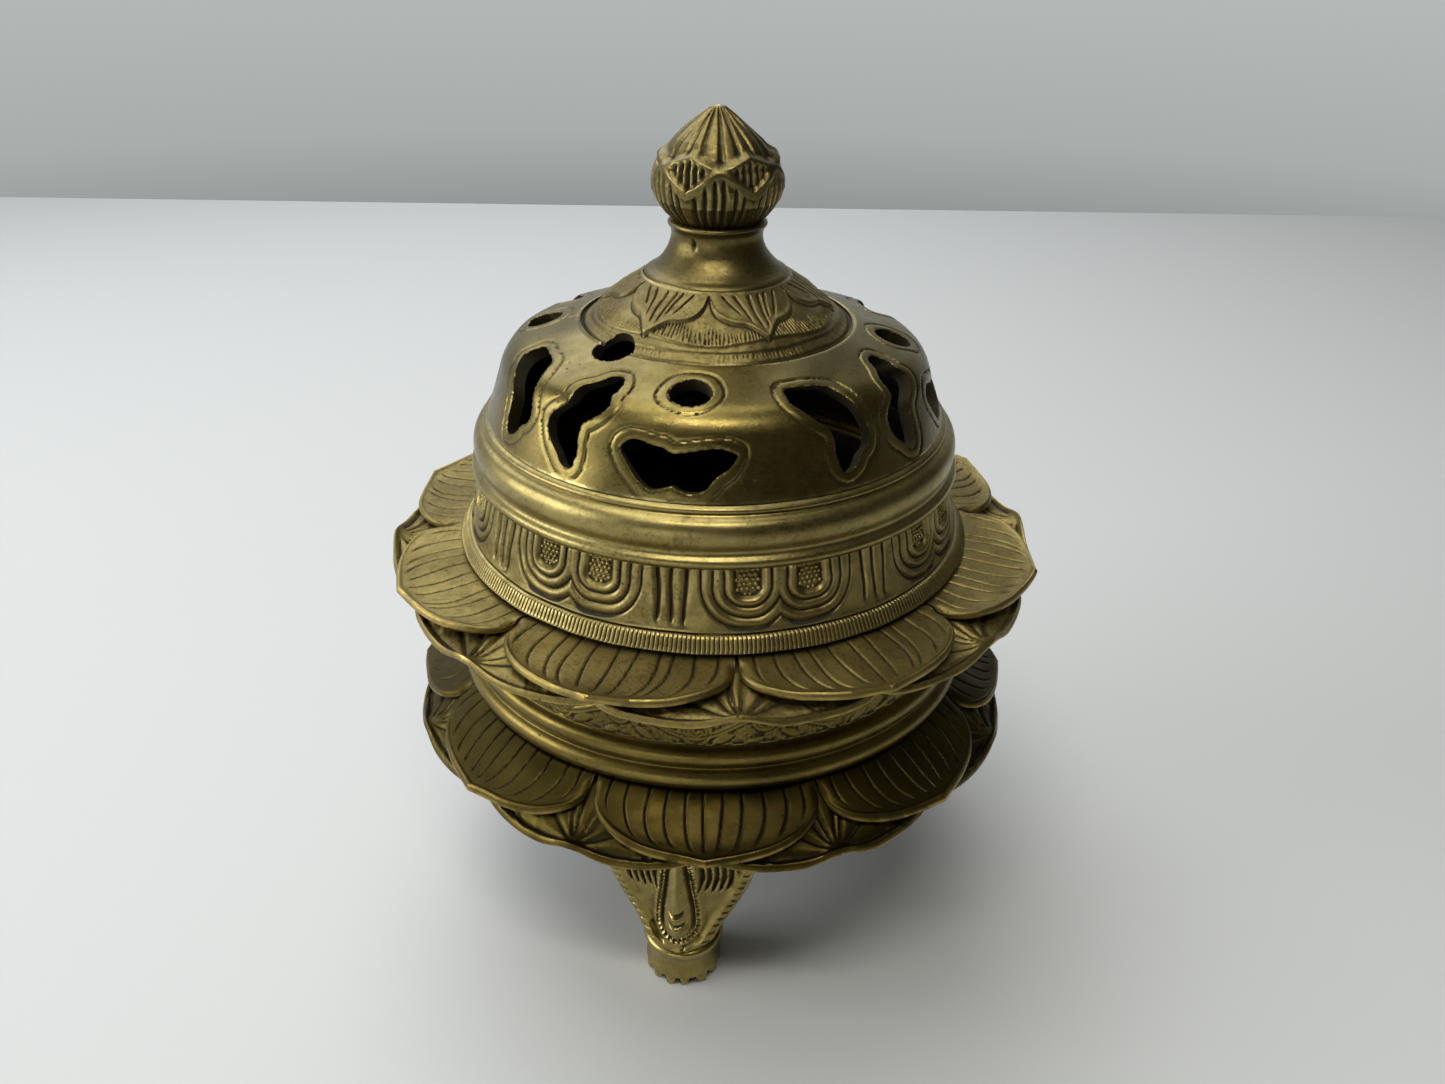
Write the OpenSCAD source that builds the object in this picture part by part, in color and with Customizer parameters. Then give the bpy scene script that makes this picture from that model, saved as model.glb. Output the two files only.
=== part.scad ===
// Tiered lotus incense burner in cast brass: a three-legged hearth, a loose middle ring and a
// pierced lid with a lotus-bud finial. Units are millimetres, +Z is up, and the origin is on the
// table under the burner's axis. Angles run anticlockwise from +X, and the front is -Y.

/* [Hearth bowl] */
// Height of the seat that carries the middle ring
hearth_seat_z = 52; // [46:0.5:60]
// Height of the bowl's flat underside
bowl_base_z = 21; // [16:0.5:26]
// Radius of the flat underside
bowl_base_r = 18; // [12:0.5:24]
// Outside radius of the bowl below its rim ledge
bowl_belly_r = 42.6; // [38:0.2:44]
// Thickness of the bowl wall
bowl_wall_t = 2.6; // [1.8:0.1:4]

/* [Middle ring] */
// Outside radius of the scroll band
band_r = 46.4; // [44:0.1:50]
// Thickness of the ring wall
band_wall_t = 2.4; // [1.6:0.1:3]
// Height of the seat that carries the lid, above the hearth's seat
ring_h = 26.5; // [20:0.5:36]
// Height of the foot moulding, both rolls
foot_h = 7.6; // [6:0.2:12]
// Height of the lower, fuller roll of the foot moulding
foot_roll_h = 4.2; // [2.6:0.1:5]
// How far the foot moulding stands out from the scroll band
foot_bulge = 2.3; // [0.8:0.1:3]

/* [Lid] */
// Outside radius of the lid's base ring
lid_base_r = 47; // [46:0.1:50]
// Height of the notched band round the lid's base
notch_band_h = 2.6; // [1.6:0.1:4]
// Height of the petal frieze, notched band included
frieze_h = 13.1; // [10:0.1:18]
// Outside radius at the top of the frieze
frieze_top_r = 42.6; // [41:0.1:44]
// Thickness of the frieze wall at its top
frieze_wall_t = 2.2; // [1.6:0.1:3]
// Number of pairs of arched panels round the frieze
panel_pairs = 8; // [6:1:9]
// Angle of the middle of one pair of panels
panel_phase = -76; // [-98:1:-54]
// Distance of a panel's middle from the middle of its pair
panel_offset = 5; // [4:0.1:5.5]
// Width of a panel
panel_w = 4.2; // [3:0.1:5]
// Depth of a panel's ground and of the lines round it
panel_depth = 0.6; // [0.3:0.05:0.8]
// Height of the bead and roll moulding between the frieze and the dome
moulding_h = 9.8; // [8:0.2:14]
// How far the bead stands out over the frieze
bead_bulge = 1.1; // [0.4:0.1:2]
// Radius of the dome at its foot
dome_foot_r = 40.4; // [38:0.1:41]
// Height of the dome wall up to the shoulder
dome_wall_h = 8.8; // [6:0.2:14]
// Inward lean of the dome wall
dome_lean = 3; // [1:0.1:5]
// Radius of the rounded shoulder
shoulder_r = 7; // [4:0.2:10]
// Rise of the dome's top, from the shoulder to the groove round the lotus seat
top_rise_angle = 17; // [10:0.5:24]
// Radius of the groove round the lotus seat
seat_groove_r = 23.5; // [20:0.5:27]
// Slope of the lotus seat
seat_slope = 33.5; // [24:0.5:40]
// Number of ribbed petals on the lotus seat
seat_petals = 6; // [5:1:8]
// Angle of one ribbed petal of the lotus seat
seat_phase = -65; // [-90:1:-40]
// How far the ribbed petals stand above the seat's plate
seat_petal_rise = 0.95; // [0.4:0.05:1.2]
// Radius of the flat land that carries the finial
crown_land_r = 12.8; // [11:0.2:15]
// Thickness of the dome
dome_t = 2.3; // [1.6:0.1:3]

/* [Smoke holes] */
// Number of groups of smoke holes
hole_groups = 4; // [3:1:5]
// Angle of the first group
hole_phase = -97; // [-135:1:-60]
// Radius of the round holes
round_hole_r = 3.3; // [2:0.1:4]
// Distance of the round holes from the axis
round_hole_ring_r = 30.5; // [28:0.2:32]
// Angle of the single odd hole at the lotus seat
odd_hole_angle = -134; // [-145:1:-120]
// Radius of the single odd hole
odd_hole_r = 3.6; // [2:0.1:4]

/* [Finial] */
// Height of the waisted neck
neck_h = 9.6; // [7:0.2:13]
// Radius of the neck's flange
neck_flange_r = 12.5; // [10.5:0.1:12.7]
// Radius of the neck's waist
neck_waist_r = 7.7; // [5:0.1:9]
// Radius of the lip that holds the bud
neck_lip_r = 8.5; // [7:0.1:10]
// Height of the lotus bud
bud_h = 18; // [14:0.5:24]
// Largest radius of the bud
bud_r = 10.9; // [9:0.1:12]
// Number of round petals on the bud
bud_petals = 6; // [5:1:8]
// Radius of the tang that fixes the bud
tang_r = 2.5; // [1.5:0.1:4]
// Radius of the washer under the crown
washer_r = 6; // [5.5:0.1:8]

/* [Lotus brims] */
// Number of large petals in each brim
petals = 8; // [6:1:10]
// Radius of the lower brim at its petal tips
lower_tip_r = 58.4; // [55:0.2:64]
// Drop of the lower brim from its seat to its petal tips
lower_drop = 6.4; // [2:0.2:9]
// Radius of the upper brim at its petal tips
upper_tip_r = 60.4; // [57:0.2:66]
// Drop of the upper brim from its seat to its petal tips
upper_drop = 0.9; // [0:0.1:4]
// Angle of a large petal on the lower brim
lower_phase = -91; // [-112:1:-68]
// Angle of a large petal on the upper brim
upper_phase = -63; // [-85:1:-40]
// Step down from the large petals to the small ones between them
petal_step = 1.9; // [1.2:0.1:2.6]
// Thickness of a petal's leaf
petal_t = 1.4; // [1:0.1:2]
// Thickness of the collar inside the petals
collar_t = 2.5; // [2:0.1:3.5]

/* [Legs] */
// Number of legs
legs = 3; // [3:1:3]
// Angle of the front leg
leg_phase = -97.5; // [-120:1:-60]
// Distance of a foot's centre from the axis
foot_ring_r = 37.4; // [34:0.2:40]
// Radius of the spool-shaped foot
spool_r = 7.6; // [5.5:0.1:8]
// How far the spool draws in at its waist
spool_waist = 1.3; // [0.4:0.1:2]
// Height of the foot, from the table to the leg's ankle
ankle_z = 10; // [8:0.2:12]
// Height of the scalloped toes under the spool
toe_h = 2.4; // [1.6:0.1:3.6]
// Number of scalloped toes
toes = 13; // [8:1:15]
// Width of a leg at the bowl
leg_top_w = 28; // [20:0.5:30]
// Width of a leg at the ankle
leg_ankle_w = 10; // [9:0.5:14]
// How far the leg's face bows out in the middle of its width
leg_crown = 3; // [1:0.1:4]
// How far the chased tongue stands out of the leg's face
tongue_rise = 1.3; // [0.4:0.1:2]
// Height of the rivets that hold the legs
rivet_z = 38; // [34:0.5:42]
// Radius of a rivet's shank
rivet_r = 1.5; // [1:0.1:2]

/* [Fits] */
// Radial clearance of the locating lips inside the pieces that sit over them
lip_clear = 0.4; // [0.3:0.05:0.8]
// Radial clearance of collars and spigots that are brazed in place
braze_clear = 0.05; // [0.03:0.01:0.1]
// Radial clearance of the tang and rivets in their holes
pin_clear = 0.1; // [0.05:0.01:0.2]
// Clearance between a leg's back and the curved bowl
leg_clear = 0.15; // [0.1:0.01:0.3]
// Height of the locating lips
lip_h = 3.5; // [2.5:0.1:5]
// Thickness of the locating lips
lip_t = 1.6; // [1.2:0.1:2]

/* [Hidden] */
$fn = 96;

brass = "#8a7a45";
brass_dark = "#75683a";
brass_light = "#a8965a";

// Radial chain of the hearth's rim: the middle ring's wall drops over the locating lip
hearth_lip_r = band_r - band_wall_t - lip_clear;
rim_flange_w = 2.4;
hearth_flange_r = hearth_lip_r + rim_flange_w;
lower_ledge_r = hearth_flange_r + 2;
ledge_t = 1.6;

// Radial chain of the middle ring's top: the lid's base ring drops over the locating lip
lid_seat_z = hearth_seat_z + ring_h;
lid_recess_r = lid_base_r - 3.4;
ring_lip_r = lid_recess_r - lip_clear;
ring_flange_r = ring_lip_r + lip_t;

// Heights up the lid
frieze_top_z = lid_seat_z + frieze_h;
dome_foot_z = frieze_top_z + moulding_h;
spigot_h = 1.2;
spigot_t = 1;

// Dome profile: leaning wall, rounded shoulder, gentle top, lotus seat and flat crown land
wall_normal = atan2(dome_lean, dome_wall_h);
top_normal = 90 - top_rise_angle;
shoulder_cx = dome_foot_r - dome_lean - shoulder_r * cos(wall_normal);
shoulder_cz = dome_foot_z + dome_wall_h - shoulder_r * sin(wall_normal);
shoulder_top_r = shoulder_cx + shoulder_r * cos(top_normal);
shoulder_top_z = shoulder_cz + shoulder_r * sin(top_normal);
seat_groove_z = shoulder_top_z + (shoulder_top_r - seat_groove_r) * tan(top_rise_angle);
crown_z = seat_groove_z + (seat_groove_r - crown_land_r) * tan(seat_slope);
neck_top_z = crown_z + neck_h;

tang_hole_r = tang_r + pin_clear;
rivet_hole_r = rivet_r + pin_clear;
washer_t = 1;
head_t = 2;

function arc(cx, cz, r, from, to, steps = 10) =
    [for (i = [0:steps]) let (a = from + (to - from) * i / steps) [cx + r * cos(a), cz + r * sin(a)]];

// A closed curve through a few points (Catmull-Rom), for the pierced shapes
function smooth_loop(p, steps = 4) = let (n = len(p)) [
    for (i = [0:n - 1], j = [0:steps - 1])
        let (t = j / steps, a = p[(i + n - 1) % n], b = p[i], c = p[(i + 1) % n], d = p[(i + 2) % n])
            b + t * (c - a) / 2 + t * t * (a - 2.5 * b + 2 * c - d / 2)
                + t * t * t * (1.5 * b - a / 2 - 1.5 * c + d / 2)
];

// A profile moved sideways by t, to give the inside of a wall
function unit(v) = v / norm(v);
function normal_at(p, i) = let (
        a = p[max(i - 1, 0)], b = p[min(i + 1, len(p) - 1)], d = unit(b - a)
    ) [d[1], -d[0]];
function inset(p, t) = [for (i = [0:len(p) - 1]) p[i] - t * normal_at(p, i)];

function reversed(p) = [for (i = [len(p) - 1:-1:0]) p[i]];
function clamp01(x) = max(0, min(1, x));
function on_circle(r, a, z) = [r * cos(a), r * sin(a), z];

// Triangles of a skin over a grid of points: rows wrap if closed, columns always wrap
function ring_faces(cols, rows) = [
    for (c = [0:cols - 1], r = [0:rows - 1])
        let (
            c2 = (c + 1) % cols, r2 = (r + 1) % rows,
            a = c * rows + r, b = c2 * rows + r, d = c * rows + r2, e = c2 * rows + r2
        )
        each [[a, b, e], [a, e, d]]
];

// ---------------------------------------------------------------- hearth

// Outside radius of the bowl's quarter-ellipse belly at height z
belly_top_z = hearth_seat_z - collar_t - ledge_t;
function bowl_r(z) = let (s = clamp01((z - bowl_base_z) / (belly_top_z - bowl_base_z)))
    bowl_base_r + (bowl_belly_r - bowl_base_r) * sqrt(1 - (1 - s) * (1 - s));

bowl_steps = 14;
belly = [
    for (i = [0:bowl_steps]) let (z = bowl_base_z + (belly_top_z - bowl_base_z) * pow(i / bowl_steps, 1.6))
        [bowl_r(z), z]
];
bowl_inside = [for (p = inset(belly, bowl_wall_t)) [min(p[0], hearth_lip_r - lip_t), p[1]]];

// The bowl is one casting, turned inside, with a ledge for the brim and a lip for the middle ring
module hearth_bowl() {
    color(brass_dark)
    difference() {
        rotate_extrude() polygon(concat(
            [[0, bowl_base_z]], belly,
            [
                [lower_ledge_r, belly_top_z], [lower_ledge_r, hearth_seat_z - collar_t],
                [hearth_flange_r, hearth_seat_z - collar_t], [hearth_flange_r, hearth_seat_z],
                [hearth_lip_r, hearth_seat_z], [hearth_lip_r, hearth_seat_z + lip_h],
                [hearth_lip_r - lip_t, hearth_seat_z + lip_h]
            ],
            reversed(bowl_inside), [[0, bowl_base_z + bowl_wall_t]]
        ));
        each_leg() rivet_hole();
    }
}

// ---------------------------------------------------------------- lotus brims

// Share of the way from a petal's root to its tip that its edge reaches, u = 0 at the centre line
// and 1 at its sides: a broad round lobe with a slight point
petal_point = 0.12;
function lobe(u) = (1 - petal_point) * sqrt(max(0, 1 - pow(u, 2.4))) + petal_point * pow(1 - u, 4);

brim_cols_per_petal = 20;
valley_r = lid_base_r + 2;
small_petal_reach = 0.4;

function pitch_offset(a, count) = let (p = 360 / count, k = round(a / p)) abs(a - k * p) / (p / 2);

// One brim is a single skin round the axis: the top runs out over the land and a large petal,
// steps down to the small petal behind it, turns under the leaf and comes back to the collar
module lotus_brim(bore_r, land_r, tip_r, drop, seat_z) {
    cols = petals * brim_cols_per_petal;
    top_z = seat_z - 0.1;
    small_root_r = tip_r - 4;
    small_tip_r = tip_r - small_petal_reach;
    edge_gap = 0.25;
    under_r = land_r + 3.4;
    ledge_clear = 0.2;

    function slope_z(r) = top_z - drop * clamp01((r - land_r) / (tip_r - land_r));
    function large_r(a) = valley_r + (tip_r - valley_r) * lobe(min(1, 1.08 * pitch_offset(a, petals)));
    function small_r(a) = small_root_r + (small_tip_r - small_root_r)
        * lobe(pitch_offset(a + 180 / petals, petals));
    function rim_r(a) = max(small_r(a), large_r(a) + 2 * edge_gap);
    // where a large petal overhangs, its own thin edge is the rim
    function rim_z(a) = slope_z(rim_r(a))
        - petal_step * (1 - 0.5 * clamp01((large_r(a) - small_r(a)) / 1.5));

    function column(a) = let (lr = large_r(a), rr = rim_r(a)) [
        [bore_r, top_z], [land_r, top_z],
        [land_r + (lr - land_r) * 0.5, slope_z(land_r + (lr - land_r) * 0.5)],
        [lr, slope_z(lr)],
        [lr + edge_gap, min(slope_z(lr + edge_gap) - 0.6, slope_z(lr) - petal_step)],
        [rr, rim_z(a)],
        [rr - 0.2, rim_z(a) - petal_t * 0.6],
        [under_r, slope_z(under_r) - petal_step - petal_t],
        [lower_ledge_r + ledge_clear, seat_z - collar_t],
        [bore_r, seat_z - collar_t]
    ];
    rows = len(column(0));
    points = [
        for (c = [0:cols - 1]) let (a = 360 * c / cols)
            for (p = column(a)) on_circle(p[0], a, p[1])
    ];
    polyhedron(points, [for (f = ring_faces(cols, rows)) reversed(f)], convexity = 6);
}

module lower_lotus_brim() {
    color(brass)
    rotate([0, 0, lower_phase])
        lotus_brim(hearth_flange_r + braze_clear, band_r + 1.2, lower_tip_r, lower_drop, hearth_seat_z);
}

module upper_lotus_brim() {
    color(brass)
    rotate([0, 0, upper_phase])
        lotus_brim(ring_flange_r + braze_clear, lid_base_r + 0.4, upper_tip_r, upper_drop, lid_seat_z);
}

// ---------------------------------------------------------------- legs

module each_leg() {
    for (i = [0:legs - 1]) rotate([0, 0, leg_phase + 360 * i / legs]) children();
}

leg_top_z = belly_top_z - 0.3;
leg_levels = 20;
leg_depth = 7;

// The face of a leg bulges at the hip, draws in down the shin and flicks out at the ankle
leg_hip_r = bowl_belly_r + 2.6;
leg_shin_r = foot_ring_r + 5.6;
leg_lip_in = 0.9;
leg_flick = 0.9;
function leg_face_r(s) = leg_shin_r + (leg_hip_r - leg_shin_r) * (1 - pow(1 - s, 2.2))
    - leg_lip_in * pow(s, 6) + leg_flick * pow(1 - s, 8);
// Half its width: a leaf that widens steadily above the ankle and is full width past half-way up
leg_flare = 0.62;
leg_swell = 1.2;
function leg_half_w(s) = (leg_ankle_w
    + (leg_top_w - leg_ankle_w) * pow(sin(90 * min(1, s / leg_flare)), leg_swell)) / 2;
function leg_back_r(z, s) = z < bowl_base_z + 1 ? leg_face_r(s) - leg_depth
    : max(leg_face_r(s) - leg_depth, bowl_r(z) + leg_clear);

// The tongue: a drop-shaped ridge down the middle of the face, by height above the ankle
tongue_half_w = [[3.6, 0], [4.8, 2.2], [6.5, 2.7], [10, 2.75], [14, 2.6], [18, 2.2], [22, 1.7], [27, 0.8], [31, 0]];
tongue_edge = 3;
function tongue(y, z) = let (w = lookup(z - ankle_z, tongue_half_w))
    w < 0.1 ? 0 : tongue_rise * sqrt(clamp01(1.15 - pow(y / w, 2)));

// Places across the face: four fixed ones on each side of the tongue, then even steps to the edge
leg_half_cols = 6;
function across(k, w) = let (a = abs(k)) sign(k) * (a <= 3
    ? [0, 1.3, 2.2, tongue_edge][a]
    : tongue_edge + (w - tongue_edge) * (a - 3) / (leg_half_cols - 3));

leg_edge_t = 0.8;
function leg_level(z) = let (
        s = clamp01((z - ankle_z) / (leg_top_z - ankle_z)),
        w = leg_half_w(s),
        face = leg_face_r(s),
        back = min(leg_back_r(z, s), face - 2 * leg_edge_t)
    ) concat(
        [for (k = [-leg_half_cols:leg_half_cols]) let (y = across(k, w),
            back_x = sqrt(max(0, back * back - y * y)))
            [max(face - leg_crown * pow(y / w, 2), back_x + leg_edge_t) + tongue(y, z), y, z]],
        [for (k = [leg_half_cols:-1:-leg_half_cols]) let (y = across(k, w) * (1 - leg_edge_t / w))
            [sqrt(max(0, back * back - y * y)), y, z]]
    );

module leg_shell() {
    n = 2 * (2 * leg_half_cols + 1);
    points = [
        for (k = [0:leg_levels]) let (z = ankle_z - 0.4 + (leg_top_z - ankle_z + 0.4) * k / leg_levels)
            each leg_level(z)
    ];
    sides = [
        for (k = [0:leg_levels - 1], i = [0:n - 1]) let (
                a = k * n + i, b = k * n + (i + 1) % n, c = a + n, d = b + n
            )
            each [[a, b, d], [a, d, c]]
    ];
    cap = [for (i = [0:n / 2 - 2]) let (j = n - 1 - i) each [[i, i + 1, j - 1], [i, j - 1, j]]];
    caps = concat([for (f = cap) reversed(f)], [for (f = cap) [for (v = f) v + leg_levels * n]]);
    polyhedron(points, [for (f = concat(sides, caps)) reversed(f)], convexity = 6);
}

// The foot is a waisted spool on a ring of scalloped toes, each as wide as its share of the rim
module spool_foot() {
    rim_h = 0.6;
    rim_ease = 0.4;
    waist_steps = 10;
    toe_r = PI * spool_r / toes;
    translate([foot_ring_r, 0, 0]) {
        rotate_extrude($fn = 48) polygon(concat(
            [[0, toe_h], [spool_r - rim_ease, toe_h]],
            [for (i = [0:waist_steps]) let (t = i / waist_steps)
                [spool_r - spool_waist * sin(180 * t), toe_h + rim_h + (ankle_z - toe_h - 2 * rim_h) * t]],
            [[spool_r - rim_ease, ankle_z], [0, ankle_z]]
        ));
        linear_extrude(toe_h) {
            circle(r = spool_r - toe_r, $fn = 48);
            for (i = [0:toes - 1]) rotate(360 * i / toes)
                translate([spool_r - toe_r * 1.1, 0]) circle(r = toe_r, $fn = 24);
        }
    }
}

rivet_head_r = 2.8;
rivet_seat_r = bowl_r(rivet_z) - bowl_wall_t;
rivet_tip_r = leg_hip_r - 2.4;

// Clears a rivet's shank, and its head where the curving bowl wall would foul it
module rivet_hole() {
    translate([0, 0, rivet_z]) rotate([0, 90, 0]) {
        cylinder(r = rivet_hole_r, h = rivet_tip_r);
        translate([0, 0, rivet_seat_r - 2 * head_t]) cylinder(r = rivet_head_r + 0.3, h = 2 * head_t);
    }
}

module leg(index) {
    color(brass)
    rotate([0, 0, leg_phase + 360 * index / legs])
        difference() {
            union() {
                leg_shell();
                spool_foot();
            }
            rivet_hole();
        }
}

module leg_front() { leg(0); }
module leg_right() { leg(1); }
module leg_left() { leg(2); }

// One rivet through the bowl wall holds each leg; its domed head is inside the bowl
module leg_rivets() {
    head_h = 1.4;
    color(brass_light)
    each_leg() translate([0, 0, rivet_z]) rotate([0, 90, 0]) translate([0, 0, rivet_seat_r - head_h]) {
        cylinder(r = rivet_r, h = rivet_tip_r - 0.2 - rivet_seat_r + head_h);
        cylinder(r1 = rivet_head_r * 0.7, r2 = rivet_head_r, h = head_h);
    }
}

// ---------------------------------------------------------------- middle ring

// Half-round moulding that stands out of radius r between two heights
function half_round(r, from_z, to_z, out, steps = 9) = [
    for (i = [0:steps]) let (a = -90 + 180 * i / steps)
        [r + out * cos(a), (from_z + to_z) / 2 + (to_z - from_z) / 2 * sin(a)]
];

// A loose ring: two rolls at its foot, the plain drum of the scroll band, a flange and a lip
module middle_ring() {
    z0 = hearth_seat_z;
    inner_r = band_r - band_wall_t;
    top_z = lid_seat_z - collar_t;
    fillet_w = 0.7;
    upper_bulge = 0.75;
    quirk = 0.3;
    flange_depth = 2.4;
    color(brass)
    rotate_extrude() polygon(concat(
        [[inner_r, z0], [band_r + fillet_w, z0]],
        half_round(band_r + fillet_w, z0 + 0.2, z0 + foot_roll_h - quirk / 2, foot_bulge - fillet_w),
        [[band_r + fillet_w - 0.1, z0 + foot_roll_h]],
        half_round(band_r + fillet_w - 0.1, z0 + foot_roll_h + quirk, z0 + foot_h, upper_bulge),
        [
            [band_r, z0 + foot_h + 0.2], [band_r, top_z], [ring_flange_r, top_z],
            [ring_flange_r, lid_seat_z], [ring_lip_r, lid_seat_z], [ring_lip_r, lid_seat_z + lip_h],
            [ring_lip_r - lip_t, lid_seat_z + lip_h], [ring_lip_r - lip_t, top_z - flange_depth],
            [inner_r, top_z - 2 * flange_depth]
        ]
    ));
}

// ---------------------------------------------------------------- lid

// Foot of the frieze, just above the notched band, and the lean of its conical wall
frieze_foot_r = lid_base_r - 2.1;
frieze_foot_z = lid_seat_z + notch_band_h + 0.3;
frieze_lean = atan2(frieze_foot_r - frieze_top_r, frieze_top_z - frieze_foot_z);
frieze_mid_r = (frieze_foot_r + frieze_top_r) / 2;

// The outermost layer of the frieze wall, down to a depth, less a plain border over the band
module frieze_skin(depth) {
    border_h = 0.5;
    out = 2;
    foot_r = frieze_foot_r - border_h * tan(frieze_lean);
    rotate_extrude() polygon([
        [foot_r - depth, frieze_foot_z + border_h], [foot_r + out, frieze_foot_z + border_h],
        [frieze_top_r + out, frieze_top_z], [frieze_top_r - depth, frieze_top_z]
    ]);
}

// A pair of arches that hang from the frieze's top edge, each grown by a border
panel_h = 4.8;
module arch_pair(border) {
    half = panel_w / 2;
    over = 1;
    for (side = [-1, 1]) translate([side * panel_offset, half - panel_h]) {
        circle(r = half + border, $fn = 32);
        translate([-half - border, 0]) square([2 * (half + border), panel_h - half + over]);
    }
}

// Sets a flat shape, drawn below the frieze's top edge, through the wall at each station
module round_frieze(phase) {
    for (i = [0:panel_pairs - 1]) rotate([0, 0, phase + 360 * i / panel_pairs])
        translate([frieze_mid_r - 6, 0, frieze_top_z]) rotate([90, 0, 90]) linear_extrude(12) children();
}

// Panels with a sunk ground, one traced line close round each and one round the pair
line_w = 0.6;
line_borders = [1.35, 3.25];
module frieze_panels() {
    intersection() {
        frieze_skin(panel_depth);
        round_frieze(panel_phase) {
            arch_pair(0);
            for (b = line_borders) difference() {
                arch_pair(b + line_w / 2);
                arch_pair(b - line_w / 2);
            }
        }
    }
}

// Three tapering flutes between each two pairs, wide under the moulding and fading downwards
module frieze_flutes() {
    flutes = 3;
    pitch = 2.8;
    top_r = 1;
    foot_r = 0.3;
    proud = 0.2;
    length = (frieze_top_z - frieze_foot_z) / cos(frieze_lean) - 1;
    for (i = [0:panel_pairs - 1], k = [0:flutes - 1])
        rotate([0, 0, panel_phase + 360 * (i + 0.5) / panel_pairs + (k - 1) * pitch / frieze_mid_r * 180 / PI])
            translate([frieze_top_r + proud, 0, frieze_top_z + 0.01]) rotate([0, 180 - frieze_lean, 0])
                cylinder(r1 = top_r, r2 = foot_r, h = length, $fn = 24);
}

// The frieze ring: a notched base band and a conical wall with panels and flutes
module lid_skirt() {
    band_top_r = lid_base_r - 1.6;
    recess_h = lip_h + 0.6;
    spigot_r = frieze_top_r - 1.4;
    color(brass)
    difference() {
        rotate_extrude() polygon([
            [lid_recess_r, lid_seat_z], [lid_base_r - 0.2, lid_seat_z], [lid_base_r, lid_seat_z + 0.4],
            [band_top_r, lid_seat_z + notch_band_h], [frieze_foot_r, frieze_foot_z],
            [frieze_top_r, frieze_top_z], [spigot_r, frieze_top_z], [spigot_r, frieze_top_z + spigot_h],
            [spigot_r - spigot_t, frieze_top_z + spigot_h],
            [frieze_top_r - frieze_wall_t - 0.2, frieze_top_z - 1], [lid_recess_r, lid_seat_z + recess_h]
        ]);
        frieze_panels();
        frieze_flutes();
    }
}

// A point over the lotus seat's cone at radius r, raised square to it
function seat_point(r, rise) =
    [r, seat_groove_z + (seat_groove_r - r) * tan(seat_slope) + rise / cos(seat_slope)];
seat_rim_sink = 0.6;
seat_plate_sink = 0.35;
seat_plate_r = seat_groove_r - 2.1;

// Outline of the dome casting from its bead up to the crown land
bead_r = frieze_top_r + bead_bulge;
roll_z = frieze_top_z + 2.3;
roll_h = moulding_h - 3.9;
dome_outside = concat(
    [[bead_r - 0.5, frieze_top_z], [bead_r, frieze_top_z + 0.5], [bead_r, frieze_top_z + 1.4],
     [bead_r - 0.6, roll_z]],
    arc(dome_foot_r - 0.6, roll_z + 1.6, roll_h * 0.55, -20, 62, 7),
    [
        [dome_foot_r + 0.7, dome_foot_z - 1.6], [dome_foot_r + 0.9, dome_foot_z - 0.9],
        [dome_foot_r + 0.4, dome_foot_z - 0.2], [dome_foot_r, dome_foot_z]
    ],
    arc(shoulder_cx, shoulder_cz, shoulder_r, wall_normal, top_normal),
    [[seat_groove_r + 0.4, seat_groove_z - 0.1], [seat_groove_r, seat_groove_z - 0.8],
     seat_point(seat_groove_r - 0.5, -seat_rim_sink), seat_point(seat_plate_r, -seat_rim_sink),
     seat_point(seat_plate_r - 0.3, -seat_plate_sink), seat_point(crown_land_r + 0.2, -seat_plate_sink),
     [crown_land_r, crown_z]]
);

inner_foot_r = frieze_top_r - 1.4 + braze_clear;
dome_inside = concat(
    [[inner_foot_r, frieze_top_z], [inner_foot_r, frieze_top_z + spigot_h + 0.2],
     [dome_foot_r - dome_t, dome_foot_z - 2]],
    arc(shoulder_cx, shoulder_cz, shoulder_r - dome_t, wall_normal, top_normal),
    [[seat_groove_r, seat_groove_z - dome_t / cos(top_rise_angle)],
     [crown_land_r, crown_z - dome_t - 0.4]]
);

// Pierced shapes, as seen from outside with +Y up
cloud_loop = smooth_loop([
    [3.8, 8.2], [0.2, 7.6], [-2.4, 4.4], [-5, 1.4], [-5.2, -1.8], [-3, -5],
    [-0.6, -8.2], [1.2, -7.2], [1.5, -3.4], [2.2, 0.4], [5, 3.2], [4.7, 6.4]
]);
kidney_loop = smooth_loop([
    [-9, 1.6], [-6.6, 3.4], [-3.6, 2.8], [-0.6, 1.6], [3.4, 2.6], [7.6, 3], [9, 1.2],
    [6, -1.6], [3.2, -3.6], [0.8, -3.2], [-0.8, -2.6], [-3.6, -3.6], [-6.4, -1.8]
]);

// Puts a flat shape square to the dome, its centre at (r, z) on the wall and its back at the axis side
module pierce(angle, r, z, rise, depth = 10) {
    rotate([0, 0, angle]) translate([r, 0, z]) rotate([0, -rise, 0])
        rotate([90, 0, 90]) translate([0, 0, -depth / 2]) linear_extrude(depth) children();
}

// A layer of the lotus seat, from within the dome's wall up to a height over the seat's cone
module seat_layer(rise) {
    root = 1.2;
    inner_r = crown_land_r + 0.15;
    outer_r = seat_groove_r - 0.5;
    rotate_extrude() polygon([
        seat_point(inner_r, -root), seat_point(outer_r, -root),
        seat_point(outer_r, rise), seat_point(inner_r, rise)
    ]);
}

// Rounded petals side by side round the axis, in plan
module petal_ring(count, root_r, reach, point) {
    steps = 16;
    polygon([
        for (i = [0:count * steps - 1]) let (
                a = 360 * (i + 0.5) / (count * steps), u = pitch_offset(a, count),
                r = root_r + reach * sqrt(max(0, 1 - pow(u, 2.4))) + point * pow(clamp01(1 - 4 * u), 1.2)
            )
            [r * cos(a), r * sin(a)]
    ]);
}

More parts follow.
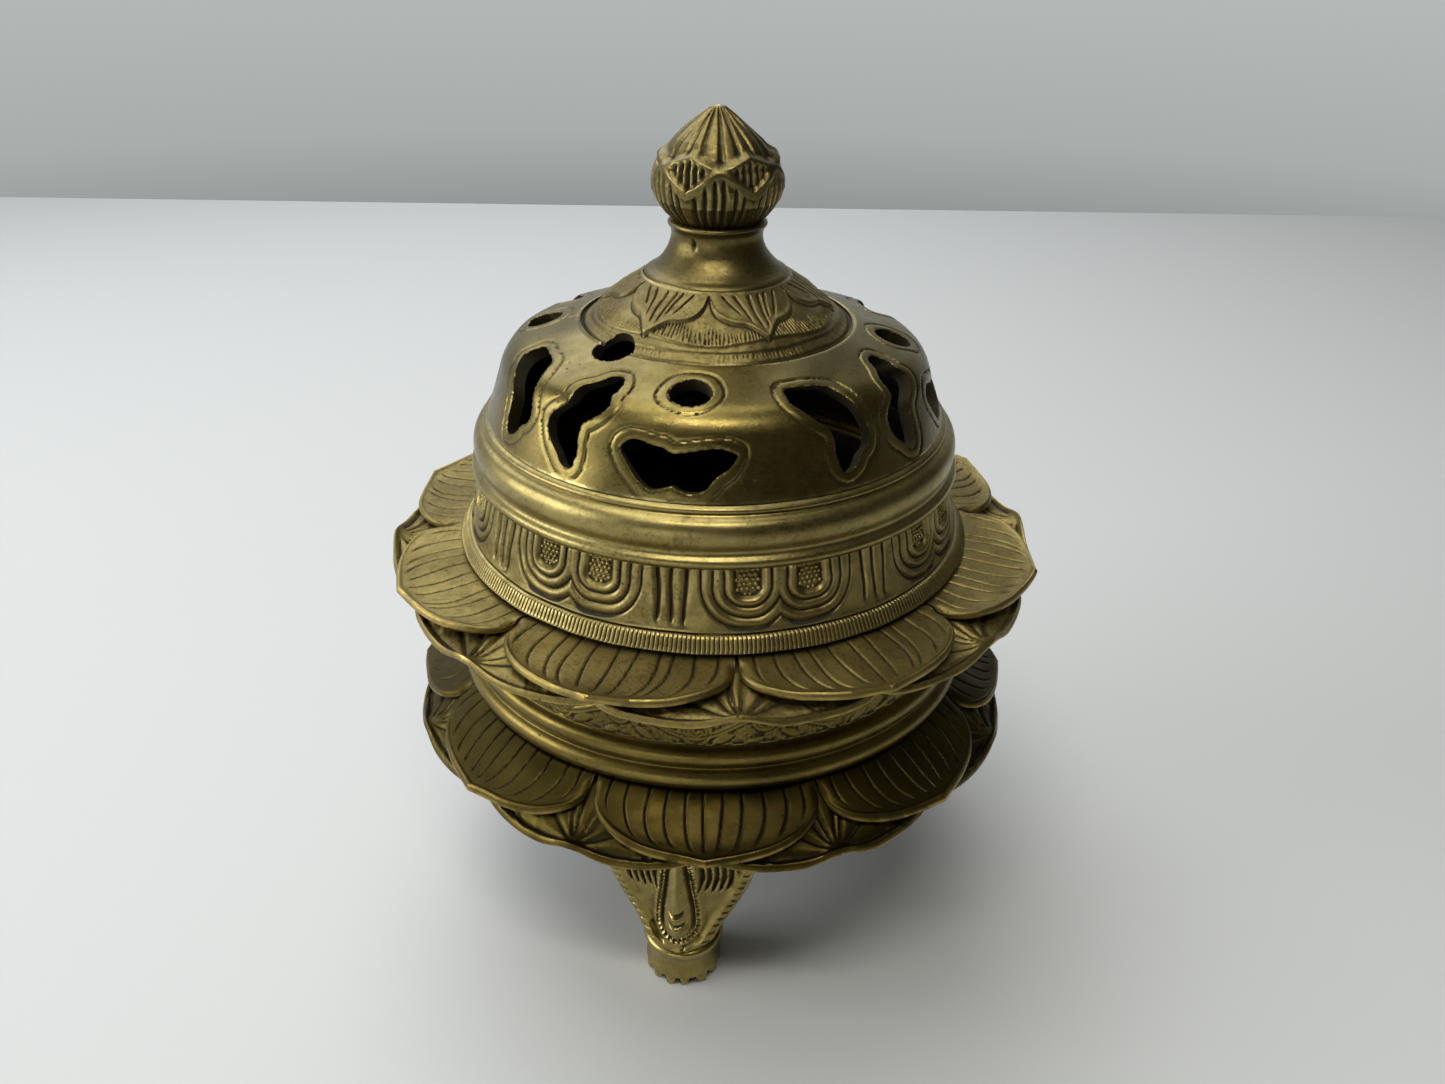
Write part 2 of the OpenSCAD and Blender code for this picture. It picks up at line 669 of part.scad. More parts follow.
// The lotus seat: ribbed petals round the crown, and hatched ones between and behind them
module lotus_seat() {
    behind_rise = 0.15;
    intersection() {
        seat_layer(seat_petal_rise - seat_plate_sink);
        rotate([0, 0, seat_phase]) translate([0, 0, crown_z - 10]) linear_extrude(12)
            petal_ring(seat_petals, crown_land_r + 0.2, 4.9, 2.2);
    }
    intersection() {
        seat_layer(behind_rise);
        rotate([0, 0, seat_phase + 180 / seat_petals]) translate([0, 0, crown_z - 10]) linear_extrude(12)
            petal_ring(seat_petals, crown_land_r + 3.6, 4.5, 0);
    }
}

cloud_foot_r = dome_foot_r - 0.7;
cloud_foot_z = dome_foot_z + 2;
cloud_head_r = shoulder_top_r - 3.3;
cloud_head_z = shoulder_top_z + 1;
cloud_rise = atan2(cloud_foot_r - cloud_head_r, cloud_head_z - cloud_foot_z);
cloud_r = (cloud_foot_r + cloud_head_r) / 2 + 1;
cloud_z = (cloud_foot_z + cloud_head_z) / 2 + 1;

// Turn of each shape from the middle of its group
kidney_turn = -1.5;
left_cloud_turn = -28.5;
right_cloud_turn = 36.5;

module smoke_holes() {
    for (g = [0:hole_groups - 1]) let (a = hole_phase + 360 * g / hole_groups) {
        pierce(a, round_hole_ring_r, shoulder_top_z + 0.7, top_normal) circle(r = round_hole_r);
        pierce(a + kidney_turn, dome_foot_r - 1.7, dome_foot_z + 5, wall_normal) polygon(kidney_loop);
        pierce(a + left_cloud_turn, cloud_r, cloud_z, cloud_rise) polygon(cloud_loop);
        pierce(a + right_cloud_turn, cloud_r, cloud_z, cloud_rise) mirror([1, 0]) polygon(cloud_loop);
    }
    pierce(odd_hole_angle, seat_groove_r, seat_groove_z, 65) circle(r = odd_hole_r);
}

// The dome carries the bead and roll mouldings and the lotus seat
module lid_dome() {
    color(brass)
    difference() {
        union() {
            rotate_extrude() polygon(concat(
                dome_outside, [[0, crown_z], [0, crown_z - dome_t - 0.4]], reversed(dome_inside)
            ));
            lotus_seat();
        }
        smoke_holes();
        translate([0, 0, crown_z - 10]) cylinder(r = tang_hole_r, h = 20);
    }
}

// ---------------------------------------------------------------- finial

module finial_neck() {
    z = crown_z;
    h = neck_h;
    color(brass)
    rotate_extrude() polygon([
        [tang_hole_r, z], [neck_flange_r - 0.3, z], [neck_flange_r, z + 0.5], [neck_flange_r - 0.5, z + 1.3],
        [neck_flange_r - 2.2, z + h * 0.27],
        [neck_waist_r + 1.1, z + h * 0.45], [neck_waist_r + 0.2, z + h * 0.6], [neck_waist_r, z + h * 0.7],
        [neck_waist_r + 0.1, z + h * 0.82], [neck_lip_r - 0.2, z + h - 0.8], [neck_lip_r, z + h - 0.3],
        [neck_lip_r - 0.3, z + h], [tang_hole_r, z + h]
    ]);
}

// The closed bud has round petals low down, pointed ones between them and a ribbed cone on top.
// Each column of points runs up the bud and breaks at the edges of the two layers of petals.
bud_ribs_per_petal = 6;
bud_cols = bud_petals * bud_ribs_per_petal * 2;
bud_rib_depth = 0.35;
bud_edge = 0.012;
bud_phase = -88;
bud_foot_r = neck_lip_r - 0.9;
bud_foot_gap = 0.02;
function bud_round_r(s) = bud_foot_r + (bud_r - bud_foot_r)
    * lookup(s, [[0, 0], [0.07, 0.45], [0.2, 0.88], [0.33, 1], [0.45, 0.9], [0.53, 0.74], [0.6, 0.55]]);
function bud_pointed_r(s) = bud_r * lookup(s, [[0.3, 0.91], [0.4, 0.93], [0.5, 0.9], [0.57, 0.86], [0.7, 0.72]]);
function bud_cone_r(s) = bud_r * lookup(s, [[0.5, 0.79], [0.55, 0.77], [0.65, 0.67], [0.75, 0.51],
    [0.85, 0.34], [0.92, 0.2], [0.96, 0.12], [1, 0]]);
function round_top(u) = 0.3 + 0.225 * pow(1 - u, 0.85);
function pointed_top(u) = 0.565 + 0.065 * pow(u, 0.8);

// Radius and height share of each point of column c
function bud_column(c) = let (
        u = pitch_offset(360 * c / bud_cols, bud_petals), low = round_top(u), high = pointed_top(u),
        rib = bud_rib_depth * (c % 2)
    ) concat(
        [for (t = [0, 0.1, 0.25, 0.45, 0.7, 0.9]) [bud_round_r(low * t) - (t > 0.2 ? rib : 0), low * t]],
        [[bud_round_r(low), low], [bud_pointed_r(low + bud_edge) - rib, low + bud_edge],
         [bud_pointed_r(high - bud_edge), high - bud_edge], [bud_cone_r(high) - rib, high]],
        [for (t = [0.2, 0.4, 0.6, 0.8, 0.93]) let (s = high + (1 - high) * t)
            [bud_cone_r(s) - rib * (1 - t), s]]
    );
bud_rows = len(bud_column(0));

// The bud's tang passes through the neck and the crown and is peened over the washer
module lotus_bud() {
    z0 = neck_top_z + bud_foot_gap;
    points = concat(
        [[0, 0, z0]],
        [
            for (k = [0:bud_rows - 1], c = [0:bud_cols - 1]) let (p = bud_column(c)[k])
                on_circle(p[0], 360 * c / bud_cols, z0 + bud_h * p[1])
        ],
        [[0, 0, z0 + bud_h]]
    );
    top = len(points) - 1;
    faces = concat(
        [for (c = [0:bud_cols - 1]) [0, 1 + (c + 1) % bud_cols, 1 + c]],
        [for (k = [0:bud_rows - 2], c = [0:bud_cols - 1]) let (
                a = 1 + k * bud_cols + c, b = 1 + k * bud_cols + (c + 1) % bud_cols,
                d = a + bud_cols, e = b + bud_cols
            )
            each [[a, b, e], [a, e, d]]],
        [for (c = [0:bud_cols - 1]) let (k = (bud_rows - 1) * bud_cols + 1) [k + c, k + (c + 1) % bud_cols, top]]
    );
    tang_foot_z = crown_z - dome_t - 0.4 - washer_t - 0.2 - head_t;
    color(brass_light)
    union() {
        rotate([0, 0, bud_phase]) polyhedron(points, [for (f = faces) reversed(f)], convexity = 4);
        translate([0, 0, tang_foot_z]) cylinder(r = tang_r, h = z0 - tang_foot_z + 2);
        translate([0, 0, tang_foot_z]) cylinder(r1 = tang_r + 0.8, r2 = tang_r + 1.6, h = head_t);
    }
}

module crown_washer() {
    color(brass_dark)
    translate([0, 0, crown_z - dome_t - 0.4 - washer_t - 0.1])
        difference() {
            cylinder(r = washer_r, h = washer_t);
            translate([0, 0, -1]) cylinder(r = tang_hole_r, h = washer_t + 2);
        }
}

hearth_bowl();
lower_lotus_brim();
leg_front();
leg_right();
leg_left();
leg_rivets();
middle_ring();
upper_lotus_brim();
lid_skirt();
lid_dome();
finial_neck();
lotus_bud();
crown_washer();
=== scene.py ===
"""Tiered lotus incense burner: three loose brass castings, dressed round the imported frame.

The script goes from the table up: hearth and legs, middle ring, lid, finial, then the studio.
Each section holds the sizes, mesh, finish and frame calls of one group of pieces.
"""
import math

import bmesh
import bpy
import numpy as np
from mathutils import Matrix, Vector


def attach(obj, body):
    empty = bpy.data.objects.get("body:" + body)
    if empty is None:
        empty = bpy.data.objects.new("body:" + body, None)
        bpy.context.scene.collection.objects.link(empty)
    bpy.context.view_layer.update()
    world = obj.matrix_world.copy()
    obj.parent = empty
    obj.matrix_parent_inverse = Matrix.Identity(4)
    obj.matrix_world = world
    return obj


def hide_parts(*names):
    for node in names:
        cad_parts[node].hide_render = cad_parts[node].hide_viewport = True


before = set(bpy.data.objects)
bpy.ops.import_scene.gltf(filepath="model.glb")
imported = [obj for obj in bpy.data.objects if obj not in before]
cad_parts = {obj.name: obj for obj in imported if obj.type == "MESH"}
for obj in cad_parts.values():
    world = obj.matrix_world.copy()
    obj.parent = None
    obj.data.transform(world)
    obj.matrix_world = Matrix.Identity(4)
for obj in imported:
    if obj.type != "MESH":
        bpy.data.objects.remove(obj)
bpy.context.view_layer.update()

MM = 0.001                 # sizes below are in millimetres, meshes are written in metres


# ------------------------------------------------------------------ hearth bowl
# The bowl is sand-cast brass, turned inside and on the rim, and holds the bed of ash.
# Its rim has a ledge under the petals, a flat seat and an upstanding lip that keys the
# middle ring. Every turned piece of the burner is one closed profile spun round the axis.

HEARTH_SEAT_Z = 52.0       # the flat of the rim, on which the middle ring stands
BOWL_BASE_Z, BOWL_BASE_R, BOWL_BELLY_R, BOWL_WALL = 21.0, 18.0, 42.6, 2.6
RIM_LEDGE_Z, RIM_LEDGE_R, RIM_FLANGE_R, RIM_LIP_R = 47.9, 48.0, 46.0, 43.6
COLLAR = 2.5               # thickness of the collar that carries a row of petals
LIP_H, LIP_T = 3.5, 1.6    # height and wall of a locating lip
BORE_R = 0.4               # where the skin of a solid turned piece starts, beside the axis


def along(points, step):
    """Points every step or so along a polyline, its corners kept."""
    out = []
    for a, b in zip(points[:-1], points[1:]):
        a, b = np.array(a, float), np.array(b, float)
        count = max(1, int(round(np.linalg.norm(b - a) / step)))
        out += [a + (b - a) * i / count for i in range(count)]
    return np.array(out + [np.array(points[-1], float)])


def softened(loop, rounds):
    """A closed loop with its corners eased, as casting and handling leave them."""
    for _ in range(rounds):
        loop = 0.5 * loop + 0.25 * (np.roll(loop, 1, 0) + np.roll(loop, -1, 0))
    return loop


def polar(r, a, z):
    """Points from radius, angle and height about the axis."""
    return np.stack(np.broadcast_arrays(r * np.cos(a), r * np.sin(a), z), -1)


def placed(name, data):
    """A new object in the scene, for a mesh, a lamp or a camera."""
    made = bpy.data.objects.new(name, data)
    bpy.context.scene.collection.objects.link(made)
    return made


def mesh_of(name, work):
    """A mesh from a finished bmesh."""
    mesh = bpy.data.meshes.new(name)
    work.to_mesh(mesh)
    work.free()
    return mesh


def grid_mesh(name, points, wrap_u=True, wrap_v=True, caps=False):
    """A skin over points[row, column], wrapped either way; caps close the two end columns."""
    rows, cols = points.shape[:2]
    index = np.arange(rows * cols).reshape(rows, cols)
    below = np.roll(index, -1, 0) if wrap_v else index[1:]
    here = index if wrap_v else index[:-1]
    if not wrap_u:
        quads = np.stack([here[:, :-1], here[:, 1:], below[:, 1:], below[:, :-1]], -1)
    else:
        quads = np.stack([here, np.roll(here, -1, 1), np.roll(below, -1, 1), below], -1)
    quads = quads.reshape(-1, 4)
    mesh = bpy.data.meshes.new(name)
    mesh.vertices.add(rows * cols)
    mesh.vertices.foreach_set("co", (points.reshape(-1, 3) * MM).ravel())
    ends = [index[::-1, 0], index[:, -1]] if caps else []
    corners = np.concatenate([quads.ravel()] + ends)
    starts = list(range(0, len(quads) * 4, 4)) + [len(quads) * 4 + i * rows for i in range(len(ends))]
    mesh.loops.add(len(corners))
    mesh.loops.foreach_set("vertex_index", corners)
    mesh.polygons.add(len(starts))
    mesh.polygons.foreach_set("loop_start", starts)
    mesh.update(calc_edges=True)
    mesh.validate()
    piece = placed(name, mesh)
    shade_and_face(piece)
    return piece


def shade_and_face(piece, crease=math.radians(52)):
    """Faces outwards, smooth but for edges sharper than the crease."""
    work = bmesh.new()
    work.from_mesh(piece.data)
    bmesh.ops.recalc_face_normals(work, faces=work.faces)
    for face in work.faces:
        face.smooth = True
    for edge in work.edges:
        edge.smooth = len(edge.link_faces) == 2 and edge.calc_face_angle(0) < crease
    work.to_mesh(piece.data)
    work.free()


def close_poles(piece):
    """Welds the points that meet on the axis into one, top and bottom."""
    work = bmesh.new()
    work.from_mesh(piece.data)
    bmesh.ops.remove_doubles(work, verts=work.verts, dist=0.002 * MM)
    bmesh.ops.delete(work, geom=[edge for edge in work.edges if not edge.link_faces], context="EDGES")
    work.to_mesh(piece.data)
    work.free()
    shade_and_face(piece)


def turned(name, profile, columns, relief=None, solid=False):
    """Spins a closed profile of (radius, height); relief(angle, radius, height) moves the skin.

    A solid piece has its profile's two ends drawn in to the axis, and no bore.
    """
    profile = np.array(profile, float)
    if solid:
        profile[0], profile[-1] = (0, profile[1, 1]), (0, profile[-2, 1])
    ahead = np.roll(profile, -1, 0) - np.roll(profile, 1, 0)
    ahead /= np.linalg.norm(ahead, axis=1)[:, None] + 1e-9
    outward = np.stack([ahead[:, 1], -ahead[:, 0]], 1)
    angle = np.linspace(0, 2 * math.pi, columns, endpoint=False)
    r, a = np.meshgrid(profile[:, 0], angle, indexing="ij")
    z = np.repeat(profile[:, 1:2], columns, 1)
    if relief:
        move = relief(a, r, z)
        r, z = r + move * outward[:, :1], z + move * outward[:, 1:]
    piece = grid_mesh(name, polar(r, a, z))
    if solid:
        close_poles(piece)
    return piece


def bowl_radius(z):
    """Outer radius of the bowl at a height: a quarter ellipse from the base up to the ledge."""
    s = np.clip((z - BOWL_BASE_Z) / (RIM_LEDGE_Z - BOWL_BASE_Z), 0, 1)
    return BOWL_BASE_R + (BOWL_BELLY_R - BOWL_BASE_R) * np.sqrt(1 - (1 - s) ** 2)


BELLY_POINTS = 40
belly = [(bowl_radius(z), z)
         for z in BOWL_BASE_Z + (RIM_LEDGE_Z - BOWL_BASE_Z) * np.linspace(0, 1, BELLY_POINTS) ** 1.8]
inside = [(min(r - BOWL_WALL, RIM_LIP_R - LIP_T), z + BOWL_WALL * (1 - i / (BELLY_POINTS - 1)) + 0.3)
          for i, (r, z) in enumerate(belly)]
bowl_profile = along([(BORE_R, BOWL_BASE_Z)] + belly + [
    (RIM_LEDGE_R, RIM_LEDGE_Z), (RIM_LEDGE_R, HEARTH_SEAT_Z - COLLAR), (RIM_FLANGE_R, HEARTH_SEAT_Z - COLLAR),
    (RIM_FLANGE_R, HEARTH_SEAT_Z), (RIM_LIP_R, HEARTH_SEAT_Z), (RIM_LIP_R, HEARTH_SEAT_Z + LIP_H),
    (RIM_LIP_R - LIP_T, HEARTH_SEAT_Z + LIP_H)] + inside[::-1] + [(BORE_R, BOWL_BASE_Z + BOWL_WALL)], 0.8)
hearth_bowl = turned("bowl", softened(bowl_profile, 2), 220, solid=True)


def node(tree, kind, settings=None, **links):
    """Adds one node: settings are its properties, links its inputs (a value or a socket).

    An input goes by its name with _ for a space, or by its number as i0, i1 and so on.
    """
    made = tree.nodes.new(kind)
    for key, value in (settings or {}).items():
        setattr(made, key, value)
    for key, value in links.items():
        numbered = key[0] == "i" and key[1:].isdigit()
        target = made.inputs[int(key[1:]) if numbered else key.replace("_", " ")]
        if isinstance(value, bpy.types.NodeSocket):
            tree.links.new(value, target)
        else:
            target.default_value = value
    return made


def linear(code):
    """sRGB hex to a linear RGBA colour."""
    parts = [int(code[i:i + 2], 16) / 255 for i in (1, 3, 5)]
    return tuple(c / 12.92 if c <= 0.04045 else ((c + 0.055) / 1.055) ** 2.4 for c in parts) + (1.0,)


def weathered(piece, hollow_to_r=0.0, fine_mm=0.35, broad_mm=1.5):
    """Stores how proud (+) or sunk (-) each point lies, for the patina: 'fine' and 'broad'.

    Each is the distance to the same skin smoothed over that many millimetres, as a share of it.
    'soot' marks the faces that look to the middle of the hollow, within hollow_to_r of the axis.
    """
    mesh = piece.data

    def read(items, key, width, kind=float):
        flat = np.empty(len(items) * width, kind)
        items.foreach_get(key, flat)
        return flat.reshape(-1, width)

    co, normal = read(mesh.vertices, "co", 3) / MM, read(mesh.vertices, "normal", 3)
    edges = read(mesh.edges, "vertices", 2, np.int64)
    count = len(co)
    # how often to average with the neighbours, for the mesh's own spacing, to smooth that far
    spacing = max(0.12, float(np.percentile(np.linalg.norm(co[edges[:, 0]] - co[edges[:, 1]], axis=1), 35)))
    rounds = [int(np.clip(3 * (size / spacing) ** 2, 1, 130)) for size in (fine_mm, broad_mm)]
    degree = np.maximum(np.bincount(edges.ravel(), minlength=count), 1)[:, None]
    smooth = co.copy()
    for turn in range(rounds[1]):
        total = np.zeros_like(smooth)
        for axis in range(3):
            total[:, axis] = (np.bincount(edges[:, 0], smooth[edges[:, 1], axis], count)
                              + np.bincount(edges[:, 1], smooth[edges[:, 0], axis], count))
        smooth = 0.35 * smooth + 0.65 * total / degree
        if turn == rounds[0] - 1:
            fine = ((co - smooth) * normal).sum(1) / fine_mm
    broad = ((co - smooth) * normal).sum(1) / broad_mm
    # soot settles on what faces the middle of the hollow
    to_middle = np.array([0, 0, (co[:, 2].min() + co[:, 2].max()) / 2]) - co
    inward = (to_middle * normal).sum(1) / np.maximum(np.linalg.norm(to_middle, axis=1), 1)
    soot = np.clip((inward - 0.25) / 0.3, 0, 1) * (hollow_to_r > np.linalg.norm(co[:, :2], axis=1))
    for key, value in (("fine", fine), ("broad", broad), ("soot", soot)):
        layer = mesh.attributes.new(key, "FLOAT", "POINT")
        layer.data.foreach_set("value", np.clip(value, -2, 2).astype(np.float32))


def aged_brass(name, golden, dull, patina="#17130c", rubbed="#c9b87c", rough=0.3, grime=1.0, grain=1.0,
               ring_marks=0.0):
    """Cast copper-zinc, hand-finished and long used over smoke.

    The open surface is a satin olive-gold that drifts between golden and dull over a couple of
    centimetres; recesses keep a dark brown patina, edges are rubbed pale and smooth, and the cast
    grain, fine pits, brown stains and hairline scratches break the gloss. ring_marks adds lathe lines.
    """
    made = bpy.data.materials.new(name)
    made.use_nodes = True
    tree = made.node_tree
    tree.nodes.clear()
    place = node(tree, "ShaderNodeTexCoord").outputs["Object"]
    fine = node(tree, "ShaderNodeAttribute", {"attribute_name": "fine"}).outputs["Fac"]
    broad = node(tree, "ShaderNodeAttribute", {"attribute_name": "broad"}).outputs["Fac"]

    def speckle(size_mm, detail=3.0, harshness=0.55):
        return node(tree, "ShaderNodeTexNoise", Vector=place, Scale=1 / (size_mm * MM), Detail=detail,
                    Roughness=harshness).outputs["Fac"]

    def ranged(value, low, high, to_low=0.0, to_high=1.0):
        return node(tree, "ShaderNodeMapRange", {"interpolation_type": "SMOOTHSTEP"}, Value=value,
                    i1=low, i2=high, i3=to_low, i4=to_high).outputs["Result"]

    def maths(how, a, b):
        return node(tree, "ShaderNodeMath", {"operation": how}, i0=a, i1=b).outputs[0]

    def blend(share, a, b):
        mixed = node(tree, "ShaderNodeMix", {"data_type": "RGBA"}, i0=share)
        for socket, value in ((6, a), (7, b)):
            if isinstance(value, bpy.types.NodeSocket):
                tree.links.new(value, mixed.inputs[socket])
            else:
                mixed.inputs[socket].default_value = value
        return mixed.outputs[2]

    # the open metal: golden where it is handled, dull where it isn't, mottled every few millimetres
    drift = ranged(speckle(16, 4), 0.36, 0.66)
    mottle = ranged(speckle(2.2, 5, 0.65), 0.35, 0.7)
    tone = blend(maths("MULTIPLY", drift, 0.75), linear(golden), linear(dull))
    tone = blend(maths("MULTIPLY", mottle, 0.35), tone, linear(dull))
    # freckles of brown grime in the grain of the casting, half a millimetre across
    grit = maths("MULTIPLY", ranged(speckle(0.6, 4, 0.7), 0.46, 0.66), ranged(speckle(8), 0.36, 0.6, 0.35, 1.0))
    tone = blend(maths("MULTIPLY", grit, 0.3 * grain), tone, linear("#35290f"))
    # brown stains a millimetre or two across, gathered in patches
    stain = maths("MULTIPLY", ranged(speckle(1.3, 5, 0.6), 0.56, 0.68), ranged(speckle(11), 0.46, 0.62))
    tone = blend(maths("MULTIPLY", stain, 0.4), tone, linear("#57411f"))
    # sunk places: fine cuts and broad hollows, broken up by the mottle
    cut = ranged(maths("ADD", fine, maths("MULTIPLY", mottle, 0.06)), -0.04, -0.42)
    hollow = ranged(maths("ADD", broad, maths("MULTIPLY", mottle, 0.10)), -0.05, -0.55)
    dark = maths("MINIMUM", maths("MULTIPLY", maths("ADD", cut, maths("MULTIPLY", hollow, 0.75)), grime), 1.0)
    # rubbed places: sharp edges, and a little of each broad swell
    proud = maths("MULTIPLY", ranged(broad, 0.25, 0.9), 0.2)
    edge = maths("MULTIPLY", maths("MAXIMUM", ranged(fine, 0.16, 0.62), proud), ranged(speckle(4), 0.3, 0.62))
    tone = blend(maths("MULTIPLY", edge, 0.6), tone, linear(rubbed))
    # casting pits: pin-prick dark spots a quarter of a millimetre across
    pit = ranged(node(tree, "ShaderNodeTexVoronoi", Vector=place, Scale=1 / (1.9 * MM)).outputs["Distance"],
                 0.16, 0.06)
    pit = maths("MULTIPLY", pit, ranged(speckle(7), 0.52, 0.66))
    dark = maths("MAXIMUM", dark, maths("MULTIPLY", pit, 0.8))
    tone = blend(maths("MULTIPLY", dark, 0.93), tone, linear(patina))
    # the smoke side: dry brown-black soot, thinner in places
    soot = node(tree, "ShaderNodeAttribute", {"attribute_name": "soot"}).outputs["Fac"]
    soot = maths("MULTIPLY", soot, ranged(speckle(6), 0.15, 0.5, 0.7, 1.0))
    tone = blend(soot, tone, linear("#1a1612"))
    dark = maths("MAXIMUM", dark, soot)
    # hairline scratches: noise drawn out along a slant
    slant = node(tree, "ShaderNodeMapping", Vector=place, Rotation=(0.5, 0.9, 0.4), Scale=(1.0, 9.0, 9.0)).outputs[0]
    hair = node(tree, "ShaderNodeTexNoise", Vector=slant, Scale=1 / (5 * MM), Detail=6.0, Roughness=0.7).outputs["Fac"]
    # smoother where it is rubbed, rougher in the grime
    rough_now = maths("ADD", maths("MULTIPLY", ranged(hair, 0.35, 0.65), 0.05), rough - 0.02)
    rough_now = maths("ADD", rough_now, maths("MULTIPLY", mottle, 0.08))
    rough_now = maths("ADD", maths("SUBTRACT", rough_now, maths("MULTIPLY", edge, 0.12)), maths("MULTIPLY", dark, 0.35))
    # cast grain half a millimetre across, scratches and pits, under a tenth of a millimetre deep
    height = maths("ADD", maths("MULTIPLY", speckle(0.5, 4, 0.7), 0.8 * grain), maths("MULTIPLY", hair, 0.12))
    height = maths("SUBTRACT", height, maths("MULTIPLY", pit, 1.4))
    if ring_marks:
        split = node(tree, "ShaderNodeSeparateXYZ", Vector=place)
        ring = node(tree, "ShaderNodeTexNoise", {"noise_dimensions": "1D"}, W=split.outputs["Z"], Scale=1 / (0.5 * MM),
                    Detail=3.0).outputs["Fac"]
        height = maths("ADD", height, maths("MULTIPLY", ring, ring_marks))
    bump = node(tree, "ShaderNodeBump", Strength=0.4, Distance=0.06 * MM, Height=height).outputs["Normal"]
    shader = node(tree, "ShaderNodeBsdfPrincipled", Base_Color=tone, Roughness=rough_now, Normal=bump,
                  Metallic=ranged(dark, 0.35, 1.0, 1.0, 0.35))
    node(tree, "ShaderNodeOutputMaterial", Surface=shader.outputs[0])
    return made


def dress(piece, material, body, slot, *nodes, hollow_to_r=0.0):
    """Gives a finished piece its patina, material, body and the CAD nodes it stands for; slot is not used."""
    weathered(piece, hollow_to_r)
    piece.data.materials.clear()
    piece.data.materials.append(material)
    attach(piece, body)
    if nodes:
        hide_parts(*nodes)


# Sand-cast and turned brass, smoked dull: broad soft reflections, faint lathe lines
hearth_brass = aged_brass("turned_smoked_brass", "#6f6132", "#554924", rough=0.36, ring_marks=0.3)
dress(hearth_bowl, hearth_brass, "hearth", "hearth_brass", "hearth_bowl", hollow_to_r=RIM_LIP_R)


# ------------------------------------------------------------------ lotus brims
# Each brim is a cast collar of eight broad petals with eight smaller ones showing between them.
# The petals were cast plain and chased by hand: a rolled rim, curved veins that close towards
# the tip, and wedge-shaped cuts on the small ones. One petal is shaped and set round the axis.

PETALS = 8
PETAL_STEP = 1.9           # how far the small petals lie below the large ones
VALLEY_R = 49.0            # where two large petals part
POINT = 0.12               # share of a petal's reach that is the point at its tip
OVERLAP = 1.02             # how much narrower than its eighth a large petal is drawn
BRAZE_GAP = 0.05           # between a collar and the casting it sits on


def lobe(u):
    """Reach of a petal's edge, 1 at the tip and 0 at the root; u runs 0 to 1 from its middle."""
    u = np.clip(np.abs(u), 0, 1)
    return (1 - POINT) * np.sqrt(np.maximum(0, 1 - u ** 2.4)) + POINT * (1 - u) ** 4


def distance_to(path, x, y, closed=False):
    """Distance from each point (x, y) to a polyline, all in millimetres."""
    path = np.asarray(path, float)
    ends = np.roll(path, -1, 0) if closed else path[1:]
    starts = path if closed else path[:-1]
    best = np.full(x.shape, 1e9)
    for (ax, ay), (bx, by) in zip(starts, ends):
        dx, dy = bx - ax, by - ay
        t = np.clip(((x - ax) * dx + (y - ay) * dy) / (dx * dx + dy * dy + 1e-12), 0, 1)
        best = np.minimum(best, (x - ax - t * dx) ** 2 + (y - ay - t * dy) ** 2)
    return np.sqrt(best)


def groove(distance, width, depth):
    """A cut along a line, from the distance to it."""
    return -depth * np.exp(-(distance / width) ** 2)


def eased_edge(distance, radius):
    """How far the skin drops towards an edge that is rounded with this radius."""
    t = np.clip(1 - distance / radius, 0, 1)
    return -radius * (1 - np.sqrt(1 - t * t))


def wander(x, y, seed):
    """A slow hand-made unevenness, about -1 to 1."""
    rng = np.random.default_rng(seed)
    out = np.zeros_like(x)
    for _ in range(5):
        kx, ky, ph = rng.normal(0, 0.35), rng.normal(0, 0.35), rng.uniform(0, 6.28)
        out += np.sin(kx * x + ky * y + ph)
    return out / 3


def petal(name, reach, top, cut, half_angle, root_r, tip_thick, root_thick, cols, rows):
    """One petal as a closed leaf that points along +X.

    reach(a) is the edge's radius at angle a (radians), top(r, a) the plain upper face, and
    cut(r, a, edge) the chasing, with edge the distance to the petal's outline.
    """
    a = np.linspace(-half_angle, half_angle, cols)
    edge_r = reach(a)
    r = root_r + (edge_r - root_r) * np.linspace(0, 1, rows)[:, None] ** 0.9
    a2 = np.repeat(a[None, :], rows, 0)
    outline = np.stack([edge_r * np.cos(a), edge_r * np.sin(a)], 1)[::2]
    edge = distance_to(outline, r * np.cos(a2), r * np.sin(a2))
    z = top(r, a2) + cut(r, a2, edge) + eased_edge(edge, 0.3)
    # two rows round the rim, then the plain underside from the rim back to the root
    rim_r = np.stack([edge_r + 0.12, edge_r + 0.1])
    rim_z = np.stack([z[-1] - 0.3, z[-1] - tip_thick * 0.55])
    back = np.linspace(1, 0, 9)[:, None]
    under_r = root_r + (edge_r - 0.35 - root_r) * back
    under_z = top(under_r, np.repeat(a[None, :], len(back), 0)) - root_thick - (tip_thick - root_thick) * back ** 0.7
    skin = polar(np.concatenate([r, rim_r, under_r]), a, np.concatenate([z, rim_z, under_z]))
    return grid_mesh(name, skin, wrap_u=False, caps=True)


